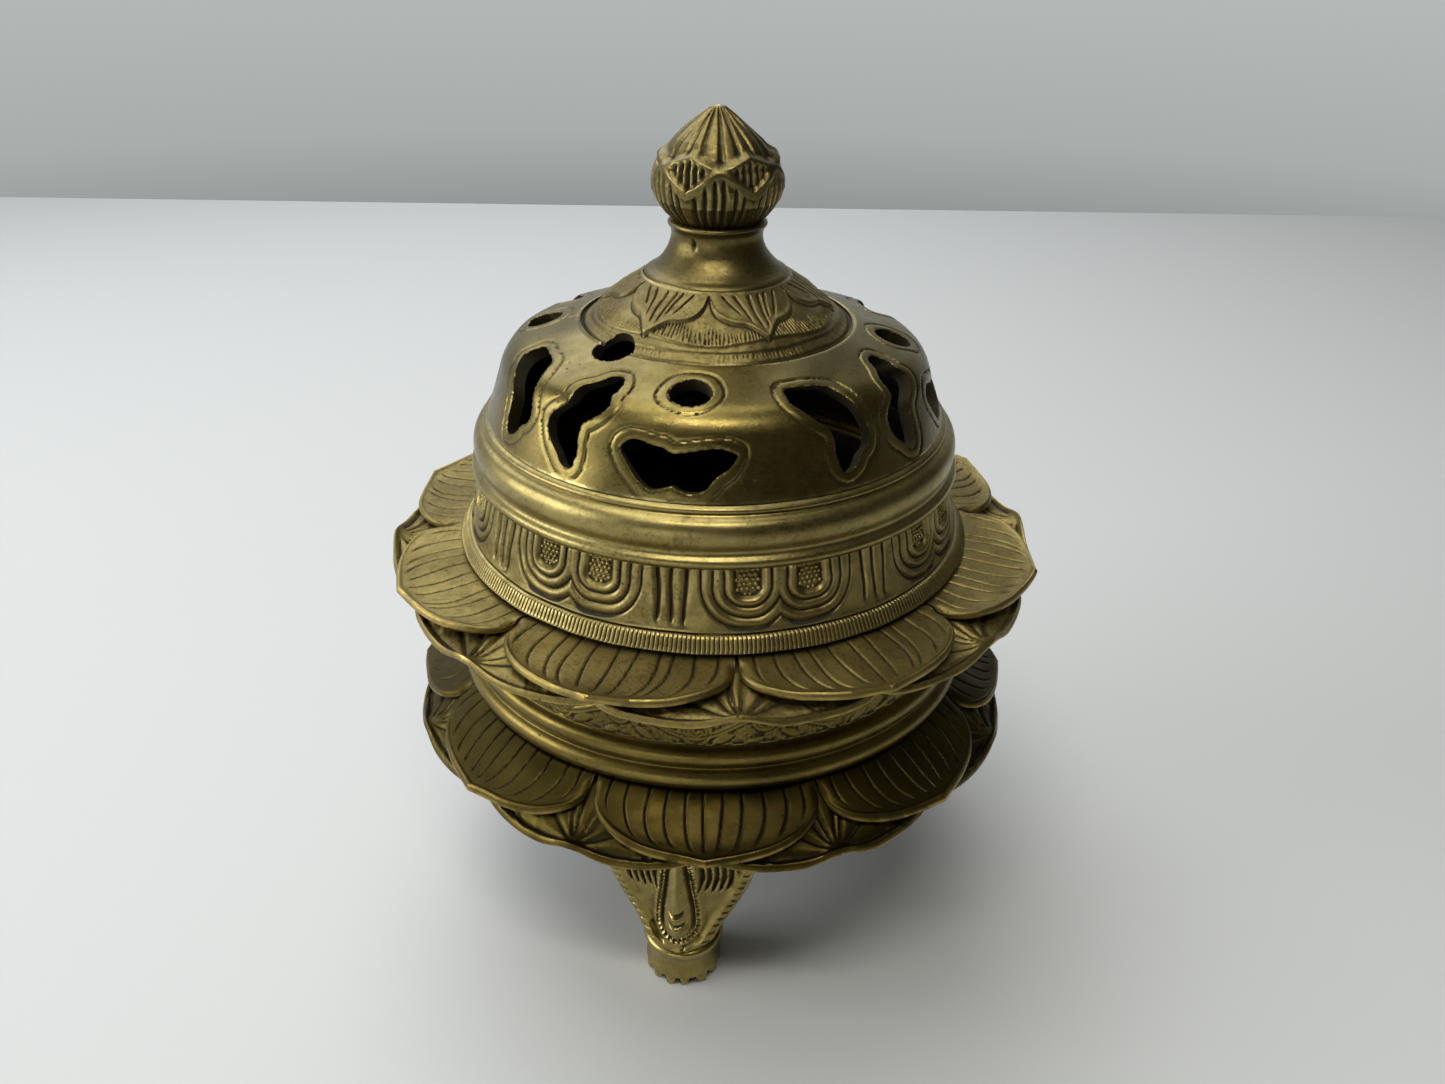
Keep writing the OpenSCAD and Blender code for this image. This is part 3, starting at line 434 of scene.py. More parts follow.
def make_ring_tree():
    """Geometry nodes that set one piece round the axis, a little unevenly, as a hand would.

    Jitter turns each copy by chance, weld joins neighbours that meet, and wobble bends the lot.
    """
    tree = bpy.data.node_groups.new("set_round_axis", "GeometryNodeTree")
    face = tree.interface
    face.new_socket("Geometry", in_out="INPUT", socket_type="NodeSocketGeometry")
    for label, kind, value in (("Count", "NodeSocketInt", 8), ("Phase", "NodeSocketFloat", 0.0),
                               ("Angle jitter", "NodeSocketFloat", 0.0), ("Wobble", "NodeSocketFloat", 0.0),
                               ("Weld", "NodeSocketFloat", 0.0), ("Seed", "NodeSocketInt", 1)):
        face.new_socket(label, in_out="INPUT", socket_type=kind).default_value = value
    face.new_socket("Finish", in_out="INPUT", socket_type="NodeSocketMaterial")
    face.new_socket("Geometry", in_out="OUTPUT", socket_type="NodeSocketGeometry")
    given = tree.nodes.new("NodeGroupInput").outputs
    stations = node(tree, "GeometryNodePoints", Count=given["Count"]).outputs[0]
    index = node(tree, "GeometryNodeInputIndex").outputs[0]
    pitch = node(tree, "ShaderNodeMath", {"operation": "DIVIDE"}, i0=2 * math.pi, i1=given["Count"]).outputs[0]
    turn = node(tree, "ShaderNodeMath", {"operation": "MULTIPLY_ADD"}, i0=index, i1=pitch, i2=given["Phase"]).outputs[0]
    chance = node(tree, "FunctionNodeRandomValue", {"data_type": "FLOAT"}, ID=index, Seed=given["Seed"])
    chance.inputs[2].default_value, chance.inputs[3].default_value = -1.0, 1.0
    turn = node(tree, "ShaderNodeMath", {"operation": "MULTIPLY_ADD"}, i0=chance.outputs[1], i1=given["Angle jitter"],
                i2=turn).outputs[0]
    spin = node(tree, "ShaderNodeCombineXYZ", Z=turn).outputs[0]
    copies = node(tree, "GeometryNodeInstanceOnPoints", Points=stations, Instance=given["Geometry"], Rotation=spin)
    real = node(tree, "GeometryNodeRealizeInstances", Geometry=copies.outputs[0]).outputs[0]
    weld = node(tree, "GeometryNodeMergeByDistance", Geometry=real, Distance=given["Weld"]).outputs[0]
    uneven = node(tree, "ShaderNodeTexNoise", Scale=110.0, Detail=1.0).outputs["Color"]
    centred = node(tree, "ShaderNodeVectorMath", {"operation": "SUBTRACT"}, i0=uneven, i1=(0.5, 0.5, 0.5)).outputs[0]
    shift = node(tree, "ShaderNodeVectorMath", {"operation": "SCALE"}, i0=centred, Scale=given["Wobble"]).outputs[0]
    moved = node(tree, "GeometryNodeSetPosition", Geometry=weld, Offset=shift).outputs[0]
    done = node(tree, "GeometryNodeSetMaterial", Geometry=moved, Material=given["Finish"]).outputs[0]
    tree.links.new(done, tree.nodes.new("NodeGroupOutput").inputs[0])
    return tree


ring_tree = make_ring_tree()


def set_round(piece, count, phase_deg, finish, jitter_deg=0.0, wobble_mm=0.25, weld_mm=0.0, seed=1):
    """Runs the ring tree on a piece and keeps the result as its plain mesh."""
    layout = piece.modifiers.new("set_round_axis", "NODES")
    layout.node_group = ring_tree
    values = {"Count": count, "Phase": math.radians(phase_deg), "Angle jitter": math.radians(jitter_deg),
              "Wobble": wobble_mm * MM, "Weld": weld_mm * MM, "Seed": seed, "Finish": finish}
    for item in ring_tree.interface.items_tree:
        if item.in_out == "INPUT" and item.name in values:
            layout[item.identifier] = values[item.name]
    bpy.context.view_layer.update()
    ready = piece.evaluated_get(bpy.context.evaluated_depsgraph_get())
    mesh = bpy.data.meshes.new_from_object(ready)
    piece.modifiers.remove(layout)
    piece.data = mesh
    if weld_mm:
        shade_and_face(piece)
    return piece


def brim(prefix, body, cad_node, bore_r, land_r, tip_r, drop, seat_z, phase_deg, seed, petal_brass):
    """The large petals, the small ones under the gaps between them, and the collar that carries both.

    The collar sits at bore_r round its casting, flat out to land_r, and falls by drop to the tips.
    """
    half = math.pi / PETALS
    top_z = seat_z - 0.1

    def slope(r):
        return top_z - drop * np.clip((r - land_r) / (tip_r - land_r), 0, 1)

    def large_top(r, a):
        return slope(r) + 0.55 * np.exp(-(a / math.radians(6)) ** 2) * np.clip((r - tip_r + 4) / 4, 0, 1) ** 1.5

    def large_reach(a):
        return VALLEY_R + (tip_r - 0.15 - VALLEY_R) * lobe(OVERLAP * a / half)

    def small_reach(a):
        return tip_r - 4 + 3.6 * lobe(a / half)

    spread = np.linspace(0, half / OVERLAP, 400)
    reach_down = large_reach(spread)

    def veins(r, a, edge):
        # the veins start evenly at the root and close on the tip as the leaf narrows
        side = np.interp(-r, -reach_down, spread)
        side = half / OVERLAP * (side * OVERLAP / half) ** 0.8
        across = a / np.maximum(side, 1e-3)
        x, y = r * np.cos(a), r * np.sin(a)
        rng = np.random.default_rng(seed)
        outer = np.clip((r - VALLEY_R - 0.5) / 5.5, 0, 1)
        # a rolled rim round a dished leaf, sunk where two petals part
        out = 0.16 * np.exp(-((edge - 0.38) / 0.28) ** 2) * outer
        out -= 0.5 * (1 - np.exp(-np.maximum(edge - 0.5, 0) / 1.7))
        out -= 0.8 * (1 - outer) * np.exp(-(edge / 0.8) ** 2)
        inside = np.clip((edge - 1.2) / 0.9, 0, 1)
        for line in np.linspace(-0.87, 0.87, 11):
            at = line + rng.normal(0, 0.014) + 0.008 * np.sin(r * rng.uniform(0.25, 0.5) + rng.uniform(0, 6))
            ends_at = tip_r - rng.uniform(1.4, 2.6)
            open_ = np.clip((ends_at - r) / 0.8, 0, 1)
            out += groove(np.abs(across - at) * side * r, 0.17, 0.36) * inside * open_
        return out + 0.09 * wander(x, y, seed + 1) * inside

    large = petal(prefix + "_large_petals", large_reach, large_top, veins, half * 0.985, bore_r + 0.15,
                  1.25, COLLAR - 0.4, 175, 52)
    set_round(large, PETALS, phase_deg, petal_brass, jitter_deg=0.35, wobble_mm=0.5, seed=seed)

    def small_top(r, a):
        fall = 0.7 - 1.5 * np.clip((r - VALLEY_R) / (tip_r - VALLEY_R - 2), 0, 1)
        curl = 1.9 * np.exp(-(a / math.radians(4.6)) ** 2) * np.clip((r - tip_r + 5) / 4.5, 0, 1) ** 1.6
        return slope(r) - PETAL_STEP + fall + curl

    def wedges(r, a, edge):
        # wedge-shaped cuts fan out from the tip over a ground left rough by the chisel
        x, y = tip_r - 1.2 - r * np.cos(a), r * np.sin(a)
        far, way = np.hypot(x, y), np.arctan2(y, x)
        rng = np.random.default_rng(seed + 7)
        out = 0.2 * np.exp(-((edge - 0.32) / 0.26) ** 2) - 0.3 * (1 - np.exp(-np.maximum(edge - 0.5, 0) / 0.9))
        reach_in = np.clip((far - 1.2) / 1.4, 0, 1) * np.clip((edge - 0.8) / 0.5, 0, 1)
        for ray in np.linspace(-76, 76, 8):
            at = math.radians(ray + rng.normal(0, 3))
            out += groove(far * np.abs(way - at), 0.08 + 0.06 * far, 0.55) * reach_in * rng.uniform(0.7, 1.1)
        chisel = wander(x * 5, y * 5, seed + 9) + 0.6 * wander(x * 11, y * 9, seed + 10)
        return out + 0.15 * chisel * np.clip((np.abs(a) - 0.10) / 0.1, 0, 1) * np.clip(edge / 0.8, 0, 1)

    small = petal(prefix + "_small_petals", small_reach, small_top, wedges, half * 0.998, bore_r + 0.15,
                  1.1, 0.8, 150, 48)
    set_round(small, PETALS, phase_deg + 180 / PETALS, petal_brass, jitter_deg=0.4, wobble_mm=0.45, seed=seed + 3)

    def under(r, depth):
        return r, float(slope(r)) - PETAL_STEP - depth

    collar = turned(prefix + "_collar", softened(along([
        (bore_r, seat_z - COLLAR), (RIM_LEDGE_R + 0.2, seat_z - COLLAR), under(VALLEY_R + 1.5, 1.5),
        under(tip_r - 5, 1.7), under(tip_r - 5, 1.1), under(VALLEY_R, 0.2), (bore_r, top_z - 1.2)], 0.5), 1), 240)
    dress(large, petal_brass, body, "petal_brass", cad_node)
    dress(small, petal_brass, body, "petal_brass")
    dress(collar, petal_brass, body, "petal_brass")


# Chased cast petals, a darker and browner copy of the petal brass as painted shade under the upper brim; near-black
# veins, rims rubbed to gold
shaded_petal_brass = aged_brass("shade_painted_petal_brass", "#4f441d", "#3b3318", rubbed="#b09650", rough=0.41, grime=1.05,
                               grain=1.2)
brim("lower", "hearth", "lower_lotus_brim", bore_r=RIM_FLANGE_R + BRAZE_GAP, land_r=47.6, tip_r=58.4, drop=6.4,
     seat_z=HEARTH_SEAT_Z, phase_deg=-91, seed=11, petal_brass=shaded_petal_brass)

LID_SEAT_Z, LID_BASE_R = 78.5, 47.0    # where the lid stands on the middle ring
RING_LIP_R = 43.2
# The same chased brass as the lower brim, olive-gold, without the lower copy's painted shade
upper_petal_brass = aged_brass("chased_petal_brass", "#8b7c49", "#6a5e38", rubbed="#bda35a", rough=0.46, grime=1.15,
                               grain=1.8)
brim("upper", "ring", "upper_lotus_brim", bore_r=RING_LIP_R + LIP_T + BRAZE_GAP, land_r=LID_BASE_R + 0.4,
     tip_r=60.25, drop=0.9, seat_z=LID_SEAT_Z, phase_deg=-63, seed=29, petal_brass=upper_petal_brass)


# ------------------------------------------------------------------ legs
# Three cast legs riveted to the bowl. Each is a broad leaf, chased with a raised tongue between
# rows of punched beads and combed cuts near the top, and it stands on a waisted spool whose
# lower rim was chopped into scallops.

LEG_PHASE = -97.5
FOOT_RING_R, SPOOL_R = 37.4, 7.6                    # how far out a foot stands, and its radius
TOE_H, TOES = 2.4, 13                               # the scalloped lower rim of the spool
ANKLE_Z, LEG_TOP_Z = 10.0, 47.6                     # the leaf's foot and top
LEG_HIP_R, LEG_SHIN_R, LEG_CROWN = 45.2, 43.0, 3.0  # how far out its face lies, and how much it arches
LEG_THICK = 7                                       # from face to back, below the bowl
TONGUE_Z = [13.6, 13.9, 14.8, 16.2, 18.2, 20.5, 24, 28, 32, 37, 41]
TONGUE_HALF_W = [0.0, 1.3, 2.2, 2.65, 2.7, 2.55, 2.15, 1.65, 1.15, 0.6, 0.1]


def ridge(distance, width, height):
    """A raised line, from the distance to it."""
    return height * np.exp(-(distance / width) ** 2)


def step(x, width):
    """Smooth rise from 0 to 1 as x passes zero."""
    t = np.clip(x / width * 0.5 + 0.5, 0, 1)
    return t * t * (3 - 2 * t)


def beads(path, pitch):
    """Centres of punched dots along a path."""
    return along(path, 0.1)[::int(pitch / 0.1)]


def bumps(centres, x, y, radius, height):
    """Round dots, raised at each centre."""
    out = np.zeros_like(x)
    for cx, cy in centres:
        out = np.maximum(out, np.exp(-((x - cx) ** 2 + (y - cy) ** 2) / radius ** 2))
    return height * out


def make_leg():
    """The leaf and the spool of one leg, which stands out along +X."""
    z = ANKLE_Z + 0.3 + (LEG_TOP_Z - ANKLE_Z - 0.3) * np.linspace(0, 1, 152) ** 1.15
    s = np.clip((z - ANKLE_Z) / (LEG_TOP_Z - ANKLE_Z), 0, 1)
    half = (11.6 + 16.4 * np.sin(np.pi / 2 * np.minimum(1, s / 0.62)) ** 1.2) / 2
    # the foot of the leaf is a rounded U that flicks out over the rim of the spool
    half = half * np.sqrt(1 - (1 - np.clip((z - z[0] + 0.12) / 2.2, 0, 1)) ** 2)
    face = LEG_SHIN_R + (LEG_HIP_R - LEG_SHIN_R) * (1 - (1 - s) ** 2.2) - 0.9 * s ** 6 + 2.4 * (1 - s) ** 9
    back = np.where(z < BOWL_BASE_Z + 1, face - LEG_THICK, np.maximum(face - LEG_THICK, bowl_radius(z) + 0.1))
    back = np.minimum(back, face - 1.6)
    u = np.linspace(-1, 1, 131)[:, None]
    y = u * half
    h = np.repeat(z[None, :], len(u), 0)
    crown = LEG_CROWN * (1 - 0.5 * (1 - s) ** 9) * np.clip(half / 5, 0, 1)
    x = np.maximum(face - crown * u ** 2, np.sqrt(np.maximum(0, back ** 2 - y ** 2)) + 0.8)

    # the raised tongue, keeled down its middle, with two arched cuts near its foot
    side = list(zip(TONGUE_HALF_W, TONGUE_Z))
    outline = side + [(-w, q) for w, q in side[::-1]]
    tongue_w = np.interp(h, TONGUE_Z, TONGUE_HALF_W)
    far = distance_to(outline, y, h, closed=True)
    far = np.where(np.abs(y) < tongue_w, -far, far)
    edge = half[None, :] - np.abs(y)
    keel = np.clip(1 - np.abs(y + 0.3) / (tongue_w + 0.3), 0, 1)
    out = (1.9 * np.sqrt(np.clip(-far / 2.0, 0, 1)) + 0.9 * keel) * (far < 0) + groove(far - 0.3, 0.35, 0.45)
    for cut_z, length in ((17.3, 1.5), (20.4, 1.3)):
        arch = h - cut_z - 0.22 * y ** 2
        out += (groove(arch, 0.3, 0.55) + ridge(arch + 0.75, 0.45, 0.35)) * step(length - np.abs(y), 0.5) * (far < 0)
    # a bead chain on a low ridge down each side and under the tongue
    rail = [(w + 1.1, q) for w, q in side[2:-2]]
    chain = [(0.5, 12.6), (1.6, 13.0), (2.6, 13.7)] + rail
    mirrored = [(-q, w) for q, w in chain]
    dots = np.concatenate([beads(chain, 1.0), beads(mirrored, 1.0)])
    far_chain = np.minimum(distance_to(chain, y, h), distance_to(mirrored, y, h))
    out += ridge(far_chain, 0.8, 0.35) - bumps(dots, y, h, 0.38, 1.1) * (far > 0.1)
    # each half of the leaf is scooped between the chain and a flat border with short dashes
    lobe_in = step(far_chain - 0.9, 1.0) * step(edge - 2.3, 1.3)
    out -= 1.15 * lobe_in * step(h - 13.5, 3)
    out += ridge(edge - 2.1, 0.5, 0.22) * step(h - 12, 1.5)
    dashes = np.abs((h * 0.62) % 1 - 0.5) < 0.13
    out -= 0.3 * dashes * step(0.7 - np.abs(edge - 1.2), 0.3) * (h < 30)
    # combed cuts: short leaning crescents side by side, high on each half
    lean = np.abs(y) + 0.045 * (h - 27) ** 2 - 0.12 * (h - 27)
    comb = np.abs(((lean - 3.6) / 1.3) % 1 - 0.5) * 1.3
    foot_h = 24.6 - 0.10 * (np.abs(y) - 4) + 0.3 * np.sin(np.floor((lean - 3.6) / 1.3) * 2.1)
    band = step(h - foot_h, 0.9) * step(32 - h, 0.6)
    widening = 0.2 + 0.16 * np.clip((h - foot_h) / 3, 0, 1)
    out -= 0.85 * np.exp(-(comb / widening) ** 2) * band * step(np.abs(y) - 3.4, 0.3) * step(edge - 2.9, 0.6)
    # two gouged leaves point down to the middle of the ankle
    for gouge in ([(-5.0, 14.6), (-4.1, 13.0), (-2.9, 12.0)], [(3.7, 13.2), (2.6, 12.0), (1.3, 11.2)]):
        out += groove(distance_to(gouge, y, h), 0.42, 0.6)
    out += 0.10 * wander(y * 3, h * 3, 5)
    x = x + out * np.clip(edge / 0.6, 0, 1) + eased_edge(edge, 0.5)

    v = np.linspace(1, -1, 17)[:, None]
    back_y = v * np.maximum(half - 0.8, 0.3 * half)
    back_x = np.sqrt(np.maximum(0, back ** 2 - back_y ** 2))
    skin = np.stack([np.concatenate([x, back_x]), np.concatenate([y, back_y]),
                     np.repeat(z[None, :], len(u) + len(v), 0)], -1)
    leaf = grid_mesh("legs", skin, wrap_u=False, caps=True)

    spool = [(0.3, 0.08), (SPOOL_R - 1.2, 0.08), (SPOOL_R - 0.5, 0.3), (SPOOL_R - 0.4, TOE_H - 0.35),
             (SPOOL_R - 0.75, TOE_H - 0.1), (SPOOL_R - 0.7, TOE_H + 0.05), (SPOOL_R - 0.45, TOE_H + 0.3)]
    spool += [(SPOOL_R - 0.45 * (1 - t) - 0.65 * math.sin(math.pi * t), TOE_H + 0.5 + (ANKLE_Z - TOE_H - 1.9) * t)
              for t in np.linspace(0.06, 1, 16)]
    spool += [(SPOOL_R - 0.1, ANKLE_Z - 0.9), (SPOOL_R - 0.45, ANKLE_Z - 0.5),
              (SPOOL_R - 1.4, ANKLE_Z - 0.1), (SPOOL_R - 2.4, ANKLE_Z), (0.3, ANKLE_Z)]

    def chopped(a, r, z_):
        rough = 0.35 * np.sin(3 * a + 1) + 0.25 * np.sin(7 * a)
        notch = np.abs(np.sin(a * TOES / 2 + 0.7 * rough)) ** 0.6
        low = np.clip((TOE_H - z_) / 0.25, 0, 1) * np.clip((r - SPOOL_R + 2.2) / 1.0, 0, 1)
        return (-(1.0 - notch) * (1.3 + 0.6 * rough) - 0.25 - 0.3 * rough) * low

    foot = turned("foot", softened(along(spool, 0.35), 1), 132, chopped, solid=True)
    foot.data.transform(Matrix.Translation((FOOT_RING_R * MM, 0, 0)))
    joined = bmesh.new()
    for part in (leaf, foot):
        joined.from_mesh(part.data)
    joined.to_mesh(leaf.data)
    joined.free()
    bpy.data.objects.remove(foot)
    return leaf


# Cast and hand-chased brass, lighter than the rest as painted light: the legs catch the window and the pale table
leg_brass = aged_brass("chased_leg_brass_painted_light", "#a69559", "#82743f", rough=0.26, grain=0.6)
legs = set_round(make_leg(), 3, LEG_PHASE, leg_brass, wobble_mm=0.2, seed=5)
dress(legs, leg_brass, "hearth", "leg_brass", "leg_front", "leg_right", "leg_left")

# Hammered rivet heads and the washer under the crown, left dull
fixing_brass = aged_brass("hammered_fixing_brass", "#8d8050", "#69603a", rough=0.4)
for name in ("leg_rivets", "crown_washer"):
    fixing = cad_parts[name]
    fixing.data.materials.clear()
    fixing.data.materials.append(fixing_brass)


# ------------------------------------------------------------------ middle ring
# A loose ring: a rolled foot moulding, a punched scroll band, a flat flange for the upper brim and
# a lip that keys the lid. The scrolls were drawn with a tracer and the ground dotted with a punch.

BAND_R, BAND_WALL = 46.4, 2.4          # outside of the scroll band, and its wall
FOOT_H, ROLL_H, ROLL_OUT = 7.6, 4.2, 2.3   # the foot moulding, and the large roll at its bottom
RING_TOP_Z = LID_SEAT_Z - COLLAR
RING_FLANGE_R = RING_LIP_R + LIP_T
SECTORS = 12                           # repeats of the scroll round the band


def half_round(r, z0, z1, out, count=12):
    """Half-round moulding on radius r between two heights."""
    t = np.linspace(-math.pi / 2, math.pi / 2, count)
    return [(r + out * math.cos(a), (z0 + z1) / 2 + (z1 - z0) / 2 * math.sin(a)) for a in t]


roll_z, foot_z = HEARTH_SEAT_Z + ROLL_H, HEARTH_SEAT_Z + FOOT_H
ring_profile = along([
    (BAND_R - BAND_WALL, HEARTH_SEAT_Z), (BAND_R + 0.4, HEARTH_SEAT_Z), (BAND_R + 0.7, HEARTH_SEAT_Z + 0.2)]
    + half_round(BAND_R + 0.7, HEARTH_SEAT_Z + 0.2, roll_z - 0.15, ROLL_OUT - 0.7)
    + [(BAND_R + 0.75, roll_z - 0.05), (BAND_R + 0.75, roll_z + 0.1)]
    + half_round(BAND_R + 0.3, roll_z + 0.15, foot_z, 1.1)[2:-1]
    + [(BAND_R + 0.15, foot_z + 0.1), (BAND_R - 0.1, foot_z + 0.3), (BAND_R - 0.6, foot_z + 0.4),
       (BAND_R - 0.5, RING_TOP_Z), (RING_FLANGE_R, RING_TOP_Z), (RING_FLANGE_R, LID_SEAT_Z), (RING_LIP_R, LID_SEAT_Z),
       (RING_LIP_R, LID_SEAT_Z + LIP_H), (RING_LIP_R - LIP_T, LID_SEAT_Z + LIP_H),
       (RING_LIP_R - LIP_T, RING_TOP_Z - 2.4), (BAND_R - BAND_WALL, RING_TOP_Z - 4.8),
       (BAND_R - BAND_WALL, HEARTH_SEAT_Z)], 0.45)[:-1]
ring_body = turned("ring_body", softened(ring_profile, 2), 260)


def spiral(cx, cy, r0, turns, start, hand):
    """A curl that winds inwards from radius r0."""
    t = np.linspace(0, 1, int(18 * turns))
    a = math.radians(start) + hand * t * turns * 2 * math.pi
    r = r0 * (1 - 0.82 * t)
    return list(zip(cx + r * np.cos(a), cy + r * np.sin(a)))


def matched_sides(field, over=8):
    """Draws the two side columns of a sector to their mean, so that neighbours meet and weld."""
    half_gap = (field[:, -1:] - field[:, :1]) / 2
    fade = np.clip(1 - np.arange(field.shape[1]) / over, 0, 1)[None]
    return field + half_gap * (fade - fade[:, ::-1])


def make_scroll_band():
    """One repeat of the band: a running stem with curls and leaves on a dotted ground."""
    z0, z1 = foot_z + 0.1, RING_TOP_Z - 0.1
    half = math.pi / SECTORS
    a = np.linspace(-half, half, 113)
    x, y = np.meshgrid(a * BAND_R, np.linspace(0, z1 - z0, 70))
    width = 2 * half * BAND_R
    stem = [(t * width, 4.3 + 2.1 * math.sin(2 * math.pi * t)) for t in np.linspace(-0.55, 0.55, 45)]
    far = distance_to(stem, x, y)
    for curl in (spiral(-width / 4 + 0.6, 3.4, 2.7, 1.5, 150, 1), spiral(width / 4 - 0.2, 5.2, 2.9, 1.5, -30, 1),
                 spiral(-width / 4 - 1.8, 9.6, 2.1, 1.2, 200, -1), spiral(width / 4 + 2.0, 10.6, 2.0, 1.2, 20, -1)):
        far = np.minimum(far, distance_to(curl, x, y))
    leaves = np.full(x.shape, 9.0)
    for lx, ly, turn, size in ((-1.2, 2.1, 0.5, 1.9), (1.6, 8.2, 3.6, 2.0), (-width / 2 + 1.2, 8.4, 0.9, 1.8),
                               (width / 2 - 2.2, 2.2, 2.6, 1.8), (0, 12.2, 1.6, 2.0), (4.2, 1.6, 0.3, 1.4)):
        length = (x - lx) * math.cos(turn) + (y - ly) * math.sin(turn)
        across = (y - ly) * math.cos(turn) - (x - lx) * math.sin(turn)
        leaves = np.minimum(leaves, np.hypot(length / size, across / (0.45 * size)) * size * 0.5 - 0.5 * size)
    shape = np.minimum(far - 0.62, leaves)
    rng = np.random.default_rng(3)
    dots = [(dx, dy) for dx in np.arange(-width / 2, width / 2, 0.72) for dy in np.arange(0.3, z1 - z0, 0.68)]
    dots = np.array(dots) + rng.normal(0, 0.12, (len(dots), 2))
    # the ground is punched down between the scrolls, each is outlined and has a cut down its middle
    ground = step(shape - 0.15, 0.35)
    out = -0.34 * ground + bumps(dots, x, y, 0.26, 0.24) * ground + groove(shape - 0.15, 0.2, 0.2)
    out += groove(far, 0.17, 0.2) * (shape < 0)
    out = out * step(y - 0.7 - 0.3 * np.sin(x * 1.3), 0.6) * step(z1 - z0 - y - 0.6, 0.3) - 0.7 * step(0.3 - y, 0.6)
    rows = [polar(BAND_R + matched_sides(out), x / BAND_R, y + z0)]
    rows += [polar(BAND_R - 0.8, a, z)[None] for z in (z1, z0)]
    return grid_mesh("scroll_band", np.concatenate(rows), wrap_u=False)


# Cast, turned and chased ring, darker and browner than the petals
ring_brass = aged_brass("scrolled_ring_brass", "#83733b", "#5d5029", rough=0.32, grime=1.5, grain=1.0,
                        ring_marks=0.15)
scroll_band = set_round(make_scroll_band(), SECTORS, 4.0, ring_brass, weld_mm=0.02, wobble_mm=0.15)
dress(ring_body, ring_brass, "ring", "ring_brass", "middle_ring", hollow_to_r=BAND_R)
dress(scroll_band, ring_brass, "ring", "ring_brass")


# ------------------------------------------------------------------ lid skirt
# The lid's base ring: a band notched with a file, then a conical frieze chased with pairs of
# arched panels that hold pebbled grounds, and tapering flutes between the pairs.

FRIEZE_FOOT_R, FRIEZE_FOOT_Z, FRIEZE_TOP_R, FRIEZE_TOP_Z = 44.9, 81.4, 42.6, 91.6
FRIEZE_MID_R = 43.8
SLANT = math.hypot(FRIEZE_FOOT_R - FRIEZE_TOP_R, FRIEZE_TOP_Z - FRIEZE_FOOT_Z)
NOTCH_H, TEETH = 2.6, 400              # the band of file cuts at the foot
PAIRS, PAIR_PHASE = 8, -76.1
PANE_X, PANE_HALF_W, PANE_H = 5.1, 2.3, 4.7   # each panel from the middle of its pair, and its size
LID_RECESS_R = 43.6                    # fits over the lip of the middle ring

skirt_profile = along([
    (LID_RECESS_R, LID_SEAT_Z), (LID_BASE_R - 0.6, LID_SEAT_Z), (LID_BASE_R - 0.45, LID_SEAT_Z + 0.35),
    (45.0, LID_SEAT_Z + NOTCH_H), (44.0, LID_SEAT_Z + NOTCH_H + 0.2), (FRIEZE_FOOT_R - 1.5, FRIEZE_FOOT_Z),
    (FRIEZE_TOP_R - 1.3, FRIEZE_TOP_Z), (41.2, FRIEZE_TOP_Z + 1.1), (40.2, FRIEZE_TOP_Z + 1.1),
    (40.2, FRIEZE_TOP_Z - 1), (LID_RECESS_R, LID_SEAT_Z + LIP_H + 0.6), (LID_RECESS_R, LID_SEAT_Z)], 0.6)[:-1]
skirt_core = turned("skirt_core", softened(skirt_profile, 1), 240)


def arch_distance(x, y, half, depth, round_r):
    """Signed distance to an arch that hangs from y = 0 (inside is negative), corners rounded."""
    qx, qy = np.abs(x) - half + round_r, y - depth + round_r
    return np.hypot(np.maximum(qx, 0), np.maximum(qy, 0)) + np.minimum(np.maximum(qx, qy), 0) - round_r


def on_cone(y, out=0.0):
    """Radius and height on the frieze, y down its slope from the top and out from its face."""
    lean = (FRIEZE_FOOT_R - FRIEZE_TOP_R) / SLANT
    return (FRIEZE_TOP_R + lean * y + out * (1 - lean ** 2) ** 0.5,
            FRIEZE_TOP_Z - (FRIEZE_TOP_Z - FRIEZE_FOOT_Z) / SLANT * y + out * lean)


